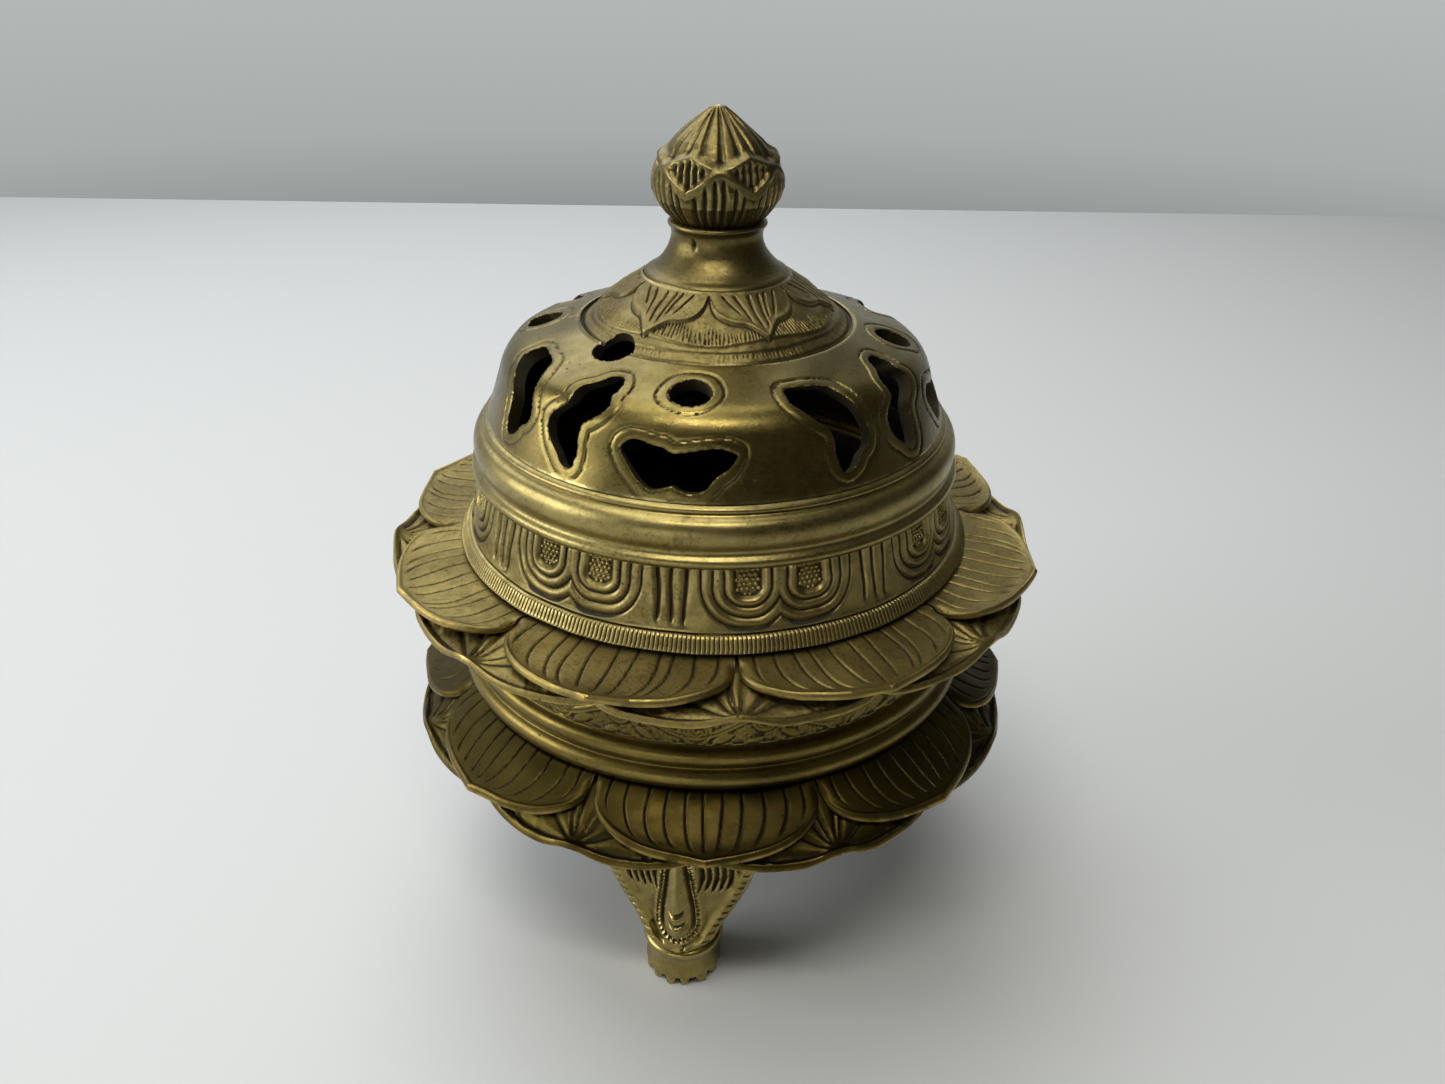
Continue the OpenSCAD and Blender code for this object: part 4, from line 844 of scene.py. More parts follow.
def make_frieze():
    """One pair of panels with half the flutes on either side."""
    edge_x = math.pi / PAIRS * FRIEZE_MID_R
    x, y = np.meshgrid(np.linspace(-edge_x, edge_x, 172), np.linspace(0, SLANT, 68))
    pane = np.minimum(*[arch_distance(x - side * PANE_X, y, PANE_HALF_W, PANE_H, 1.7) for side in (1, -1)])
    pane = pane + 0.16 * wander(x, y, 18)
    # the sunk ground, then three broad rounded cords one outside the other, narrow cuts between
    out = np.where(pane < 0, -0.62 * step(-pane, 0.4), 0.0)
    for start, end, height in ((0.0, 1.45, 0.2), (1.45, 3.2, 0.1), (3.2, 5.1, 0.0)):
        t = np.clip((pane - start) / (end - start), 0, 1)
        cord = (pane >= start) & (pane < end)
        round_top = 0.3 * (1 - (2 * t - 1) ** 2) - 0.3
        out = np.where(cord, height + round_top - 0.5 * (1 - np.sin(math.pi * t) ** 0.22), out)
    # beyond the outermost cord, three tapering flutes in the gap between two pairs
    outside = step(pane - 5.2, 0.3)
    gap_x = np.where(x > 0, edge_x - np.abs(x), np.abs(x) - edge_x)
    rng = np.random.default_rng(6)
    flutes = np.zeros_like(x)
    for offset in (-2.35, 0.0, 2.3):
        drift = offset * (1 - 0.01 * y) + 0.12 * np.sin(y * 0.5 + offset)
        depth = rng.uniform(0.6, 0.8) * step(9.4 - rng.uniform(0, 1.0) - y, 1.0)
        flutes -= depth * np.exp(-(np.abs(gap_x - drift) / (0.5 - 0.02 * y)) ** 1.6)
    out = np.where(pane >= 5.1, outside * (flutes - 0.1) - 0.55 * (1 - outside), out)
    out += 0.07 * wander(x * 2, y * 2, 8)
    r, z = on_cone(y, matched_sides(out * step(SLANT - y - 0.55, 0.4)))
    rows = [polar(r, x / FRIEZE_MID_R, z)]
    rows += [polar(rear_r, x[0] / FRIEZE_MID_R, rear_z)[None]
             for rear_r, rear_z in ((FRIEZE_FOOT_R - 1.6, FRIEZE_FOOT_Z), (FRIEZE_TOP_R - 1.4, FRIEZE_TOP_Z))]
    return grid_mesh("frieze", np.concatenate(rows), wrap_u=False)


def make_pebbles():
    """The grain of one pair of panels: low domes struck side by side with a cup punch."""
    rng = np.random.default_rng(12)
    grain = bmesh.new()
    for centre in (-PANE_X, PANE_X):
        for row in range(7):
            for col in range(-2, 3):
                px = col * 0.86 + (row % 2) * 0.43 + rng.normal(0, 0.05)
                py = 0.5 + row * 0.78 + rng.normal(0, 0.05)
                if arch_distance(np.array(px), np.array(py), PANE_HALF_W - 0.1, PANE_H - 0.1, 1.6) > -0.15:
                    continue
                r, z = on_cone(py)
                spot = polar(r - 0.6, (centre + px) / FRIEZE_MID_R, z) * MM
                bmesh.ops.create_icosphere(grain, subdivisions=1, radius=0.41 * rng.uniform(0.88, 1.08) * MM,
                                           matrix=Matrix.Translation(spot))
    pebbles = placed("pebbles", mesh_of("pebbles", grain))
    pebbles.data.polygons.foreach_set("use_smooth", [True] * len(pebbles.data.polygons))
    return pebbles


def make_tooth():
    """One tooth of the notched band with half a file cut on each side.

    Its section is a loop of (radius, height, share of the cut's depth).
    """
    half = math.pi / TEETH
    a = half * np.array([-1, -0.84, -0.68, -0.5, 0, 0.5, 0.68, 0.84, 1])
    cut = np.array([0.3, 0.2, 0.03, 0.0, 0.0, 0.0, 0.03, 0.2, 0.3])
    low, high = LID_SEAT_Z + 0.25, LID_SEAT_Z + NOTCH_H - 0.05
    loop = [(LID_BASE_R - 2.0, low - 0.2, 0), (LID_BASE_R - 0.5, low - 0.22, 0), (LID_BASE_R - 0.12, low, 0)]
    loop += [(LID_BASE_R - 0.02 - 1.5 * t, low + (high - low) * t, min(1, t * 5)) for t in np.linspace(0.06, 0.92, 8)]
    loop += [(LID_BASE_R - 1.75, high, 0.4), (LID_BASE_R - 2.3, high + 0.1, 0), (LID_BASE_R - 3.2, high - 0.3, 0)]
    loop = np.array(loop)
    return grid_mesh("notch_teeth", polar(loop[:, :1] - cut * loop[:, 2:], a, loop[:, 1:2]), wrap_u=False)


# Cast and chased lid: olive-gold on the high parts, brown-black in panels and flutes
lid_brass = aged_brass("chased_lid_brass", "#7f7140", "#5c512b", rough=0.27, grime=1.15, grain=1.0)
# The same casting where files and punches left it matt: brown in the cuts, little rubbed
frieze_brass = aged_brass("punched_frieze_brass", "#9d8d57", "#766a42", rubbed="#b8a870", rough=0.38, grime=1.45,
                          grain=1.7)
frieze = set_round(make_frieze(), PAIRS, PAIR_PHASE, frieze_brass, weld_mm=0.02, wobble_mm=0.35)
pebbles = set_round(make_pebbles(), PAIRS, PAIR_PHASE, frieze_brass, wobble_mm=0.35)
teeth = set_round(make_tooth(), TEETH, 0.0, frieze_brass, weld_mm=0.02, wobble_mm=0.3)
dress(skirt_core, frieze_brass, "lid", "lid_brass", "lid_skirt", hollow_to_r=LID_BASE_R)
for trim in (frieze, pebbles, teeth):
    dress(trim, frieze_brass, "lid", "lid_brass")


# ------------------------------------------------------------------ lid dome
# One casting: a bead and roll moulding, the pierced dome and the raised lotus seat. The smoke
# holes were cast, filed out and then traced round by hand about a millimetre and a half outside.

DOME_FOOT_R, DOME_FOOT_Z, DOME_T = 40.4, 101.4, 2.3
SHOULDER_C, SHOULDER_R = (30.774, 107.942), 7.0                   # the arc from the wall to the top
WALL_NORMAL, TOP_NORMAL = math.radians(18.82), math.radians(73)   # which way wall and top face
GROOVE_R, GROOVE_Z = 23.5, 117.49                                 # where the dome meets the lotus seat
LAND_R, CROWN_Z = 12.8, 124.57                                    # the flat under the neck


def shoulder(radius, count=12):
    """The rounded shoulder, from the wall up to the top."""
    return [(SHOULDER_C[0] + radius * math.cos(a), SHOULDER_C[1] + radius * math.sin(a))
            for a in np.linspace(WALL_NORMAL, TOP_NORMAL, count)]


# a bead, the broad roll and a thin bead, in heights up the lid
mouldings_profile = along([
    (41.25, FRIEZE_TOP_Z), (FRIEZE_TOP_R + 0.5, FRIEZE_TOP_Z)]
    + half_round(FRIEZE_TOP_R + 0.5, FRIEZE_TOP_Z + 0.1, FRIEZE_TOP_Z + 2.0, 0.75, 9)
    + [(42.75, 93.9), (42.85, 94.2)] + half_round(41.2, 93.6, 99.6, 2.05, 18)[4:]
    + [(41.2, 99.75), (41.15, 99.9)] + half_round(40.75, 99.9, 101.1, 0.6, 7)
    + [(40.45, 101.15), (40.0, 101.5), (38.2, 101.5), (38.0, 99.3), (41.25, 93.0), (41.25, FRIEZE_TOP_Z)], 0.4)[:-1]
mouldings = turned("dome_mouldings", softened(mouldings_profile, 2), 260)

# Pierced shapes: (degrees from the group's middle, millimetres up the dome from its foot)
KIDNEY = [(-15, 7.3), (-12.8, 8.8), (-10.1, 8.9), (-7.4, 8.4), (-5, 8.2), (-3.5, 7.7), (-1.9, 7.4), (1.5, 7.8),
          (4.8, 8.2), (8.2, 8.4), (11.6, 7.6), (12, 6.9), (10, 5.2), (7.4, 4), (5.2, 2.2), (3.3, 1.6), (0.7, 1.6),
          (-1.3, 2.1), (-2.4, 2.4), (-4.1, 2), (-6.5, 1.6), (-8.2, 1.9), (-10.7, 3.4), (-12.9, 5.1)]
LEFT_CLOUD = [(-21.7, 19.5), (-25.9, 19.3), (-28.4, 17.4), (-31.5, 15.6), (-32.2, 14), (-32, 12.3), (-33.1, 11.3),
              (-35.6, 9.9), (-36.7, 8.2), (-35.8, 6.3), (-33.8, 4.9), (-32.1, 3.9), (-30.3, 2.5), (-28, 2.1),
              (-26.8, 2.8), (-26.3, 5), (-26.5, 6.8), (-26.3, 8.9), (-25.4, 9.8), (-23.9, 10.5), (-21.5, 11.8),
              (-20.2, 13.3), (-21, 15.2), (-20.4, 17.1)]
RIGHT_CLOUD = [(26.8, 17.9), (29.2, 18.6), (32.9, 18.4), (37, 18.1), (40.5, 17.2), (41.8, 15.6), (42.9, 14.3),
               (44.1, 12.6), (45.1, 10.9), (45.9, 9.2), (46.3, 7.6), (45.2, 6), (43, 5.1), (41.4, 3.6), (38.8, 2.6),
               (37, 3.2), (36.1, 5.2), (35.9, 6.9), (35.7, 8.5), (34.9, 9.7), (33.1, 10.8), (30.9, 12.1),
               (28.5, 13.7), (26.7, 15.2)]
HOLE_PHASE, HOLE_GROUPS = -97.0, 4
ROUND_HOLE_UP, ROUND_HOLE_R, ROUND_HOLE_RING_R = 18.3, 3.3, 30.5
ODD_HOLE_ANGLE, ODD_HOLE_R, ODD_HOLE_RING_R = -134, 3.5, 23.6   # broken or filed through later
TRACE_GAP = 1.75                                                # from a hole to its traced line
CUT_OVER, CUT_DEPTH = 4.0, 7.0                                  # the cutters' reach, out and in


def eased_loop(loop, steps=3):
    """The closed curve through the points (Catmull-Rom)."""
    p = np.asarray(loop, float)
    before, after, later = np.roll(p, 1, 0), np.roll(p, -1, 0), np.roll(p, -2, 0)
    t = (np.arange(steps) / steps)[None, :, None]
    p, before, after, later = p[:, None], before[:, None], after[:, None], later[:, None]
    return (p + t * (after - before) / 2 + t ** 2 * (before - 2.5 * p + 2 * after - later / 2)
            + t ** 3 * (1.5 * p - before / 2 - 1.5 * after + later / 2)).reshape(-1, 2)


def round_loop(angle, s, radius, ring_r):
    """A round hole in the same terms, on a circle of radius ring_r about the axis."""
    t = np.linspace(0, 2 * math.pi, 12, endpoint=False)
    return [(angle + math.degrees(radius * math.cos(a) / ring_r), s + radius * math.sin(a)) for a in t]


def make_pierced_dome():
    """The dome's shell with its traced lines, and the cutters for its holes."""
    up = along([(DOME_FOOT_R, DOME_FOOT_Z)] + shoulder(SHOULDER_R) + [(GROOVE_R, GROOVE_Z)], 0.1)
    run = np.concatenate([[0], np.cumsum(np.linalg.norm(np.diff(up, axis=0), axis=1))])

    def at(s):
        return np.interp(s, run, up[:, 0]), np.interp(s, run, up[:, 1])

    def facing(s):
        (r0, z0), (r1, z1) = at(s - 0.6), at(s + 0.6)
        size = np.hypot(r1 - r0, z1 - z0) + 1e-9
        return (z1 - z0) / size, (r0 - r1) / size

    rng = np.random.default_rng(21)
    loops = []
    for group in range(HOLE_GROUPS):
        middle = HOLE_PHASE + 360 * group / HOLE_GROUPS
        for shape in (KIDNEY, LEFT_CLOUD, RIGHT_CLOUD, round_loop(0, ROUND_HOLE_UP, ROUND_HOLE_R, ROUND_HOLE_RING_R)):
            # the first group is drawn true, and the hand wanders on the others
            hand = softened(rng.normal(0, 0.22, (len(shape), 2)), 1) if group else 0
            loops.append(eased_loop(np.array(shape) + hand) + (middle, 0))
    loops.append(eased_loop(round_loop(ODD_HOLE_ANGLE, run[-1] - 0.2, ODD_HOLE_R, ODD_HOLE_RING_R)))

    s = np.linspace(0, run[-1], 86)
    a = np.linspace(-180, 180, 820, endpoint=False)
    a2, s2 = np.meshgrid(a, s)
    r2 = at(s2)[0]
    out = 0.06 * wander(np.radians(a2) * 40, s2, 31)
    nearest, traced = np.full(a2.shape, 9.0), np.full(a2.shape, 9.0)
    for loop in loops:
        # the distance to this hole's edge, only for the points near it
        centre = loop.mean(0)
        gap = (a2 - centre[0] + 180) % 360 - 180
        near = (np.abs(gap) < 28) & (np.abs(s2 - centre[1]) < 15)
        loop_x = np.radians(loop[:, 0] - centre[0]) * at(loop[:, 1])[0]
        far = distance_to(np.stack([loop_x, loop[:, 1]], 1), np.radians(gap[near]) * r2[near], s2[near], closed=True)
        nearest[near] = np.minimum(nearest[near], far)
        if loop is not loops[-1]:
            # no line was traced round the odd hole
            traced[near] = np.minimum(traced[near], far)
    sketchy = 0.22 * wander(np.radians(a2) * 60, s2 * 1.6, 33)
    out += groove(traced - TRACE_GAP + sketchy, 0.17, 0.27) * step(s2 - 0.7, 0.3) + eased_edge(nearest, 0.35)
    out += groove(s2 - run[-1] + 0.3, 0.25, 0.3)
    nr, nz = facing(s2)
    skin = np.stack([r2 + out * nr, at(s2)[1] + out * nz], -1)
    inner = along([(GROOVE_R, GROOVE_Z - 2.6)] + shoulder(SHOULDER_R - DOME_T, 6)[::-1] + [(38.1, 101.3)], 3.0)
    both = np.concatenate([skin, np.repeat(inner[:, None], len(a), 1)])
    shell = grid_mesh("pierced_dome", polar(both[..., 0], np.radians(a), both[..., 1]))
    weathered(shell, DOME_FOOT_R)    # before the cut, which keeps what it stores
    # one prism for each hole, square to the dome there
    cutters = bmesh.new()
    for loop in loops:
        r, z = at(loop[:, 1])
        rim = polar(r, np.radians(loop[:, 0]), z)
        nr, nz = facing(loop[:, 1].mean())
        normal = polar(nr, math.radians(loop[:, 0].mean()), nz)
        level = (rim - rim.mean(0)) @ normal
        top, deep = [[cutters.verts.new(point * MM) for point in rim + normal * (reach - level)[:, None]]
                     for reach in (CUT_OVER, -CUT_DEPTH)]
        for i in range(len(rim)):
            cutters.faces.new((top[i - 1], deep[i - 1], deep[i], top[i]))
        cutters.faces.new(top)
        cutters.faces.new(deep[::-1])
    bmesh.ops.recalc_face_normals(cutters, faces=cutters.faces)
    bmesh.ops.triangulate(cutters, faces=[f for f in cutters.faces if len(f.verts) > 4])
    return shell, placed("hole_cutters", mesh_of("hole_cutters", cutters))


def pierce(shell, tool, wall_material):
    """Cuts the smoke holes; their walls take the material of what settled on them."""
    tool.data.materials.append(wall_material)
    cut = shell.modifiers.new("pierce", "BOOLEAN")
    cut.object, cut.operation, cut.solver, cut.material_mode = tool, "DIFFERENCE", "EXACT", "TRANSFER"
    bpy.context.view_layer.update()
    mesh = bpy.data.meshes.new_from_object(shell.evaluated_get(bpy.context.evaluated_depsgraph_get()))
    shell.modifiers.remove(cut)
    shell.data = mesh
    bpy.data.objects.remove(tool)
    shade_and_face(shell)


SEAT_PETALS, SEAT_PHASE = 6, -65.0
SEAT_IN_R, SEAT_OUT_R = 12.2, 24.0


def make_lotus_seat():
    """One sixth of the seat: a ribbed petal, half the hatched petals beside it and the plate."""
    half = math.pi / SEAT_PETALS
    a = np.linspace(-half, half, 120)
    a2, r2 = np.meshgrid(a, np.linspace(SEAT_IN_R, SEAT_OUT_R, 84))
    u = np.abs(a2) / half
    # how far out the ribbed petals and the hatched ones behind them reach
    first = (13.0 + 4.7 * np.sqrt(np.maximum(0, 1 - np.clip(u / 0.97, 0, 1) ** 3.2))
             + 2.7 * np.clip(1 - u / 0.34, 0, 1) ** 1.5)
    second = 20.4 + 0.45 * np.cos(math.pi * (1 - u))
    in_first, in_second = step(first - r2, 0.3), step(second - r2, 0.28)
    out = 0.42 * in_first + 0.36 * in_second + 0.3 * step(21.6 - r2, 0.25) + 0.3 * step(23.2 - r2, 0.3)
    out += (ridge(first - r2 - 0.45, 0.4, 0.1) - ridge(r2 - first - 0.15, 0.3, 0.08)) * step(r2 - 13.2, 0.4)
    across = a2 * r2
    rib_pitch = 0.28 * half * 13.5 * 13.5 / 14.5    # millimetres between ribs, where the fan is widest
    rng = np.random.default_rng(4)
    for rib in (-2.6, -1.5, -0.5, 0.55, 1.5, 2.5):
        fan = (0.42 + 0.58 * np.clip((first - r2) / 4.5, 0, 1)) * rib_pitch
        at = (rib + rng.normal(0, 0.12)) * fan + 0.12 * np.sin(r2 * 1.1 + rib)
        wide = 0.16 + 0.09 * np.clip((first - r2 - 1.5) / 3, 0, 1)
        ends = step(first - r2 - 1.6 + 0.3 * math.sin(rib * 3), 0.5) * step(r2 - 12.95, 0.3)
        out -= 0.36 * np.exp(-(np.abs(across - at) / wide) ** 2) * in_first * ends
    # short file strokes on the rim of the hatched petals, and here and there on the step outside
    hatch = np.abs(((a2 * 21 + 0.25 * wander(across * 2, r2 * 2, 3)) / 0.62) % 1 - 0.5) * 0.62
    on_rim = step(2.4 + np.sin(7 * a2) - (second - r2), 0.6) * step(second - r2 - 0.25, 0.2)
    on_step = step(r2 - 21.9, 0.2) * step(22.8 + 0.3 * np.sin(9 * a2) - r2, 0.3) * step(np.sin(a2 * 5 + 2), 0.8)
    out += groove(hatch, 0.12, 0.18) * in_second * (1 - in_first) * on_rim + groove(hatch, 0.11, 0.13) * on_step
    out += 0.05 * wander(across * 2.5, r2 * 2.5, 14)
    # laid on the cone between groove and crown, its outer edge let down to the dome
    edge = np.clip((SEAT_OUT_R - r2) / 0.5, 0, 1)
    out = matched_sides((out - 0.95) * edge - 0.35 * (1 - edge))
    slope = (CROWN_Z - GROOVE_Z) / (GROOVE_R - LAND_R)
    size = math.hypot(1, slope)
    rear_r = np.repeat([[SEAT_OUT_R], [SEAT_IN_R]], len(a), 1)
    rr = np.concatenate([r2 + out * slope / size, rear_r])
    zz = GROOVE_Z + slope * (GROOVE_R - np.concatenate([r2, rear_r]))
    zz += np.concatenate([out / size, np.full(rear_r.shape, -2.2)])
    return grid_mesh("lotus_seat", polar(rr, a, zz), wrap_u=False)


def seat_hole_cutter():
    """The round hole on the edge of the seat goes through the plate as well as the dome."""
    a, rise = math.radians(ODD_HOLE_ANGLE), TOP_NORMAL
    axis = Vector((math.cos(rise) * math.cos(a), math.cos(rise) * math.sin(a), math.sin(rise)))
    centre = Vector((ODD_HOLE_RING_R * math.cos(a), ODD_HOLE_RING_R * math.sin(a), GROOVE_Z)) * MM
    post = bmesh.new()
    bmesh.ops.create_cone(post, cap_ends=True, segments=40, radius1=ODD_HOLE_R * MM, radius2=ODD_HOLE_R * MM,
                          depth=2 * CUT_DEPTH * MM,
                          matrix=Matrix.Translation(centre) @ axis.to_track_quat("Z", "Y").to_matrix().to_4x4())
    return placed("seat_hole_cutter", mesh_of("seat_hole_cutter", post))


# Walls of the smoke holes: brass under a dry bloom of grey ash and soot
ash_bloom = aged_brass("ash_bloomed_brass", "#3d3523", "#575243", patina="#15120d", rough=0.8)
dome, hole_tool = make_pierced_dome()
dome.data.materials.append(lid_brass)
pierce(dome, hole_tool, ash_bloom)
# Cast and punched, never polished: dull, grainy, brown in every hollow
seat_brass = aged_brass("chased_seat_brass", "#85774a", "#5f5432", rubbed="#b0a06a", rough=0.42, grime=1.5,
                        grain=1.8)
lotus_seat = set_round(make_lotus_seat(), SEAT_PETALS, SEAT_PHASE, seat_brass, weld_mm=0.02, wobble_mm=0.5)
weathered(lotus_seat)
pierce(lotus_seat, seat_hole_cutter(), ash_bloom)
# The roll the hand meets first is rubbed palest, and its lighter colour is also a painted highlight from the window
roll_brass = aged_brass("rubbed_roll_brass_and_painted_highlight", "#a0915a", "#7b6e44", rough=0.3, grime=1.1, grain=1.5)
dress(mouldings, roll_brass, "lid", "lid_brass", "lid_dome", hollow_to_r=41.5)
for pierced in (dome, lotus_seat):
    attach(pierced, "lid")


# ------------------------------------------------------------------ finial
# A turned neck and a cast lotus bud, peened together through the crown. The bud has six round
# petals below, six pointed ones between them and a ribbed cone on top, all chased after casting.

NECK_TOP_Z, BUD_H = 134.17, 17.97
TANG_R = 2.7                           # the bud's tang runs down the neck's bore
BUD_PETALS, BUD_PHASE, BUD_MAX_R = 6, -88.0, 10.95
neck_shape = [(TANG_R, CROWN_Z)] + [(r, CROWN_Z + up) for r, up in (
    (12.0, 0), (12.38, 0.3), (12.48, 0.7), (12.3, 1.1), (11.85, 1.4), (11.3, 1.62), (10.75, 2.0), (9.95, 2.75),
    (9.15, 3.7), (8.4, 4.8), (7.92, 5.9), (7.68, 7.0), (7.75, 8.0), (7.95, 8.5), (8.35, 8.85), (8.45, 9.2))]
neck_shape += [(8.2, NECK_TOP_Z), (TANG_R, NECK_TOP_Z)]


def neck_flaws(a, r, z):
    """Slow waviness of the hand-turned waist, and one small casting flaw at its front left."""
    flaw = np.hypot((a - math.radians(241)) * 8 + 0.25 * (z - CROWN_Z - 6.9), (z - CROWN_Z - 6.9) * 0.5)
    return 0.05 * np.sin(3 * a + z) * (z > CROWN_Z + 2) - 0.5 * np.exp(-(flaw / 0.3) ** 2) * (r > 7)


neck = turned("neck", softened(along(neck_shape + neck_shape[:1], 0.22)[:-1], 3), 260, neck_flaws)


def make_bud():
    """One sixth of the bud, from its foot on the axis round to the tip."""
    half = math.pi / BUD_PETALS
    a = np.linspace(-half, half, 74)
    a2, s2 = np.meshgrid(a, np.linspace(0, 1, 190))
    u = np.abs(a2) / half
    # the outlines of the three layers, by share of the height
    round_r = np.interp(s2, [0, .03, .07, .12, .2, .3, .36, .45, .53, .6],
                        [7.4, 8.1, 8.9, 9.6, 10.45, 10.85, 10.85, 10.55, 10.1, 9.6])
    second_r = np.interp(s2, [0, .3, .4, .5, .57, .62, .66, .72], [9, 10.0, 10.3, 10.2, 9.75, 9.2, 8.6, 7.8])
    cone_r = np.interp(s2, [0, .5, .6, .66, .72, .8, .9, .95, .98, .993, 1],
                       [8, 9.0, 8.75, 8.1, 7.2, 5.55, 3.2, 2.0, 1.25, .6, 0])
    # how far below the upper edge of each row of petals a point lies, and whether it is on that row
    below1 = (0.355 + 0.21 * (1 - u) ** 0.8 + 0.015 * np.sin(np.pi * 2 * u) - s2) * BUD_H
    below2 = (0.55 + 0.105 * u ** 0.9 - s2) * BUD_H
    in1, in2 = step(below1, 0.5), step(below2, 0.5)
    rng = np.random.default_rng(23)
    ribs = np.zeros_like(a2)
    for rib in (-0.75, -0.45, -0.15, 0.15, 0.45, 0.75):
        far = np.abs(a2 / half - rib - rng.normal(0, 0.02)) * half * 10
        wedge = 0.2 + 0.17 * np.clip((below1 - 1.9) / 2.2, 0, 1)
        ends = step(below1 - 1.8 - 0.4 * abs(rib), 0.7) * step(s2 * BUD_H - 0.3, 0.5)
        ribs += groove(far, wedge, 0.6) * ends * in1
    for rib in (0.52, 0.76, 1.0):
        far = np.abs(u - rib) * half * 9.6
        ribs += groove(far, 0.3, 0.6) * step(below2 - 1.2, 0.7) * (1 - in1)
    for rib in (-0.7, 0.05, 0.72):
        far = np.abs(a2 / half - rib) * half * np.maximum(cone_r, 0.3)
        ribs += groove(far, 0.1 + 0.045 * cone_r, 0.5) * (1 - in2) * np.clip((1 - s2) / 0.08, 0, 1)
    rims = ridge(below1 - 0.9, 0.85, 0.36) * in1 + ridge(below2 - 0.75, 0.65, 0.3) * in2 * (1 - in1)
    r = in1 * round_r + (1 - in1) * (in2 * second_r + (1 - in2) * cone_r) + ribs + rims
    r = np.minimum(r, BUD_MAX_R)
    r = matched_sides(r + 0.09 * wander(a2 * 22, s2 * 30, 17) * np.clip(r / 4, 0, 1))
    # closed on the axis at the tip and under the foot
    r[-1] = 0
    z = np.minimum(NECK_TOP_Z + 0.02 + s2 * BUD_H, NECK_TOP_Z + BUD_H)
    skin = polar(np.concatenate([0 * r[:1], r]), a, np.concatenate([z[:1], z]))
    return grid_mesh("lotus_bud", skin, wrap_u=False, wrap_v=False)


# Cast and turned finial, rubbed bright where the lid is lifted
finial_brass = aged_brass("handled_finial_brass", "#7b6e43", "#544a2a", rubbed="#b5a56e", rough=0.34, grime=1.6,
                          grain=1.4)
bud = set_round(make_bud(), BUD_PETALS, BUD_PHASE, finial_brass, weld_mm=0.02, wobble_mm=0.6)
dress(neck, finial_brass, "lid", "finial_brass", "finial_neck")
dress(bud, finial_brass, "lid", "finial_brass", "lotus_bud")


# ------------------------------------------------------------------ studio
# A pale plain table before a plain wall, soft light from the left and overhead, and the camera.

CAMERA_AT = (0.0, -0.193, 0.1805)      # metres
PITCH, ROLL, YAW = math.radians(29.24), math.radians(0.92), math.radians(0.51)
FOCAL_PX, FRAME_W_PX = 1148.13, 1445
FLOOR_SIDE, FLOOR_BACK = 3, 0.59       # the table ends a little behind the burner
forward = Vector((math.sin(YAW) * math.cos(PITCH), math.cos(YAW) * math.cos(PITCH), -math.sin(PITCH)))
level = Vector((math.cos(YAW), -math.sin(YAW), 0))
upward = level.cross(forward)
right = math.cos(ROLL) * level + math.sin(ROLL) * upward
up = -math.sin(ROLL) * level + math.cos(ROLL) * upward
lens = bpy.data.cameras.new("camera")
lens.sensor_width = 36
lens.lens = FOCAL_PX / FRAME_W_PX * lens.sensor_width
lens.clip_start = 0.005
camera = placed("camera", lens)
camera.matrix_world = Matrix.Translation(CAMERA_AT) @ Matrix((right, up, -forward)).transposed().to_4x4()
bpy.context.scene.camera = camera

floor_mesh = bpy.data.meshes.new("floor")
floor_mesh.from_pydata([(-FLOOR_SIDE, -FLOOR_SIDE, 0), (FLOOR_SIDE, -FLOOR_SIDE, 0), (FLOOR_SIDE, FLOOR_BACK, 0),
                        (-FLOOR_SIDE, FLOOR_BACK, 0)], [], [(0, 1, 2, 3)])
floor = placed("floor", floor_mesh)
# Matt pale laminate table top
table_white = bpy.data.materials.new("pale_table")
table_white.use_nodes = True
laminate = table_white.node_tree.nodes["Principled BSDF"].inputs
laminate["Base Color"].default_value = linear("#c8cac9")
laminate["Roughness"].default_value = 0.6
floor_mesh.materials.append(table_white)


def soft_light(name, at, size, watts, colour):
    """A soft rectangle of light, at a place in metres, that faces the middle of the burner."""
    lamp = bpy.data.lights.new(name, "AREA")
    lamp.shape = "RECTANGLE"
    lamp.size, lamp.size_y = size
    lamp.energy = watts
    lamp.color = linear(colour)[:3]
    aim = (Vector((0, 0, 0.08)) - Vector(at)).to_track_quat("-Z", "Y")
    placed(name, lamp).matrix_world = Matrix.Translation(at) @ aim.to_matrix().to_4x4()


soft_light("window_left", (-0.85, -0.15, 0.34), (0.6, 0.45), 4.8, "#fbfcff")
soft_light("lamp_front", (-0.06, -0.4, 0.88), (0.5, 0.06), 2.8, "#fffaf0")
soft_light("room_front", (-0.35, -0.9, 0.12), (0.5, 0.2), 0.7, "#f4f4f2")
soft_light("ceiling_over", (-0.14, 0.12, 0.94), (0.6, 0.5), 3.0, "#fbfaf6")
soft_light("ceiling_back", (-0.22, 0.53, 0.62), (0.8, 0.4), 2.6, "#f6f8ff")

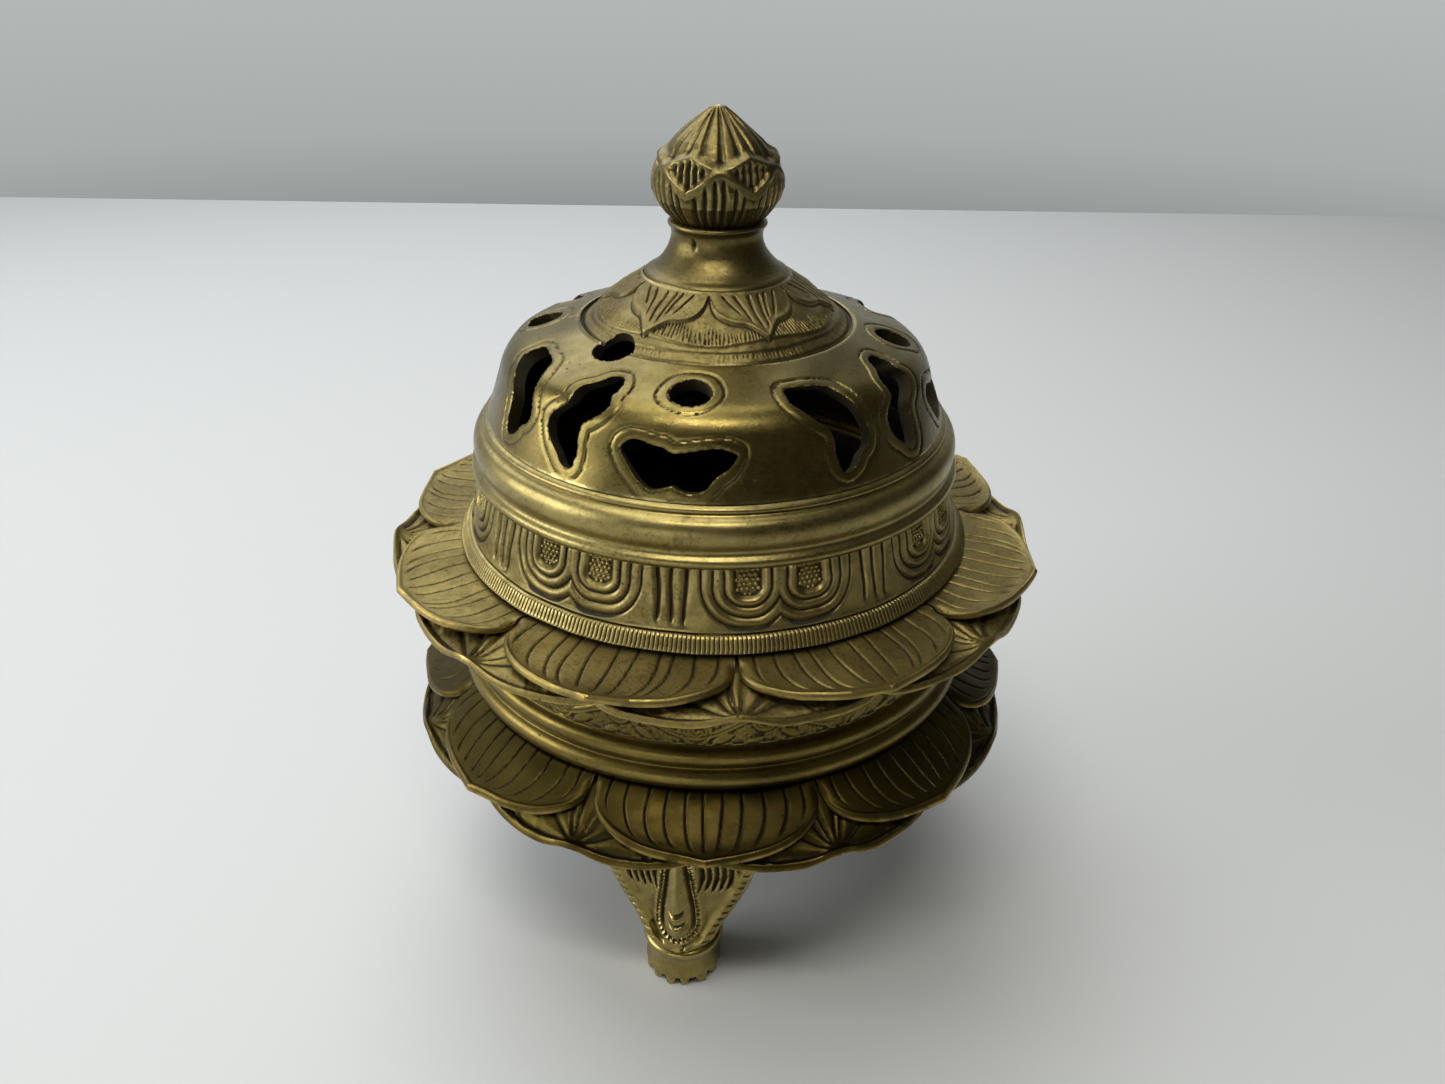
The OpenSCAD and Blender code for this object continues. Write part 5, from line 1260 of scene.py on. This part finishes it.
# The room: pale behind and above, brighter towards the window, dim in front and to the right
world = bpy.data.worlds.new("soft_room")
bpy.context.scene.world = world
world.use_nodes = True
sky = world.node_tree
sky.nodes.clear()
look = node(sky, "ShaderNodeTexCoord").outputs["Generated"]
split = node(sky, "ShaderNodeSeparateXYZ", Vector=look).outputs


def graded(value, low, high, *stops):
    """A background whose colour follows value from low to high; stops are (place, colour)."""
    share = node(sky, "ShaderNodeMapRange", Value=value, i1=low, i2=high).outputs[0]
    ramp = node(sky, "ShaderNodeValToRGB", Fac=share)
    band = ramp.color_ramp.elements
    for stop, (at, colour) in zip((band[0], band[1]), (stops[0], stops[-1])):
        stop.position, stop.color = at, linear(colour)
    band.new(stops[1][0]).color = linear(stops[1][1])
    return node(sky, "ShaderNodeBackground", Color=ramp.outputs[0], Strength=1.0)


side = node(sky, "ShaderNodeVectorMath", {"operation": "DOT_PRODUCT"}, i0=look, i1=(-0.8, 0.5, 0.25)).outputs["Value"]
lit = graded(side, -1.0, 1.0, (0.25, "#484641"), (0.6, "#737574"), (0.95, "#c9ced2"))
seen = graded(split["Z"], -0.24, -0.06, (0.0, "#8b8f8f"), (0.42, "#a9adac"), (1.0, "#b4b8b7"))
# the pale wall is what the camera sees, and what metal (or glass) shows where it faces the wall
path = node(sky, "ShaderNodeLightPath").outputs
mirrored = node(sky, "ShaderNodeMath", {"operation": "MAXIMUM"}, i0=path["Is Glossy Ray"],
                i1=path["Is Transmission Ray"]).outputs[0]
behind = node(sky, "ShaderNodeMapRange", {"interpolation_type": "SMOOTHSTEP"}, Value=split["Y"],
              i1=0.6, i2=0.97).outputs[0]
mirrored = node(sky, "ShaderNodeMath", {"operation": "MULTIPLY"}, i0=mirrored, i1=behind).outputs[0]
shown = node(sky, "ShaderNodeMath", {"operation": "MAXIMUM"}, i0=path["Is Camera Ray"], i1=mirrored).outputs[0]
both = node(sky, "ShaderNodeMixShader", i0=shown, i1=lit.outputs[0], i2=seen.outputs[0])
node(sky, "ShaderNodeOutputWorld", Surface=both.outputs[0])

bpy.context.scene.view_settings.view_transform = "Standard"
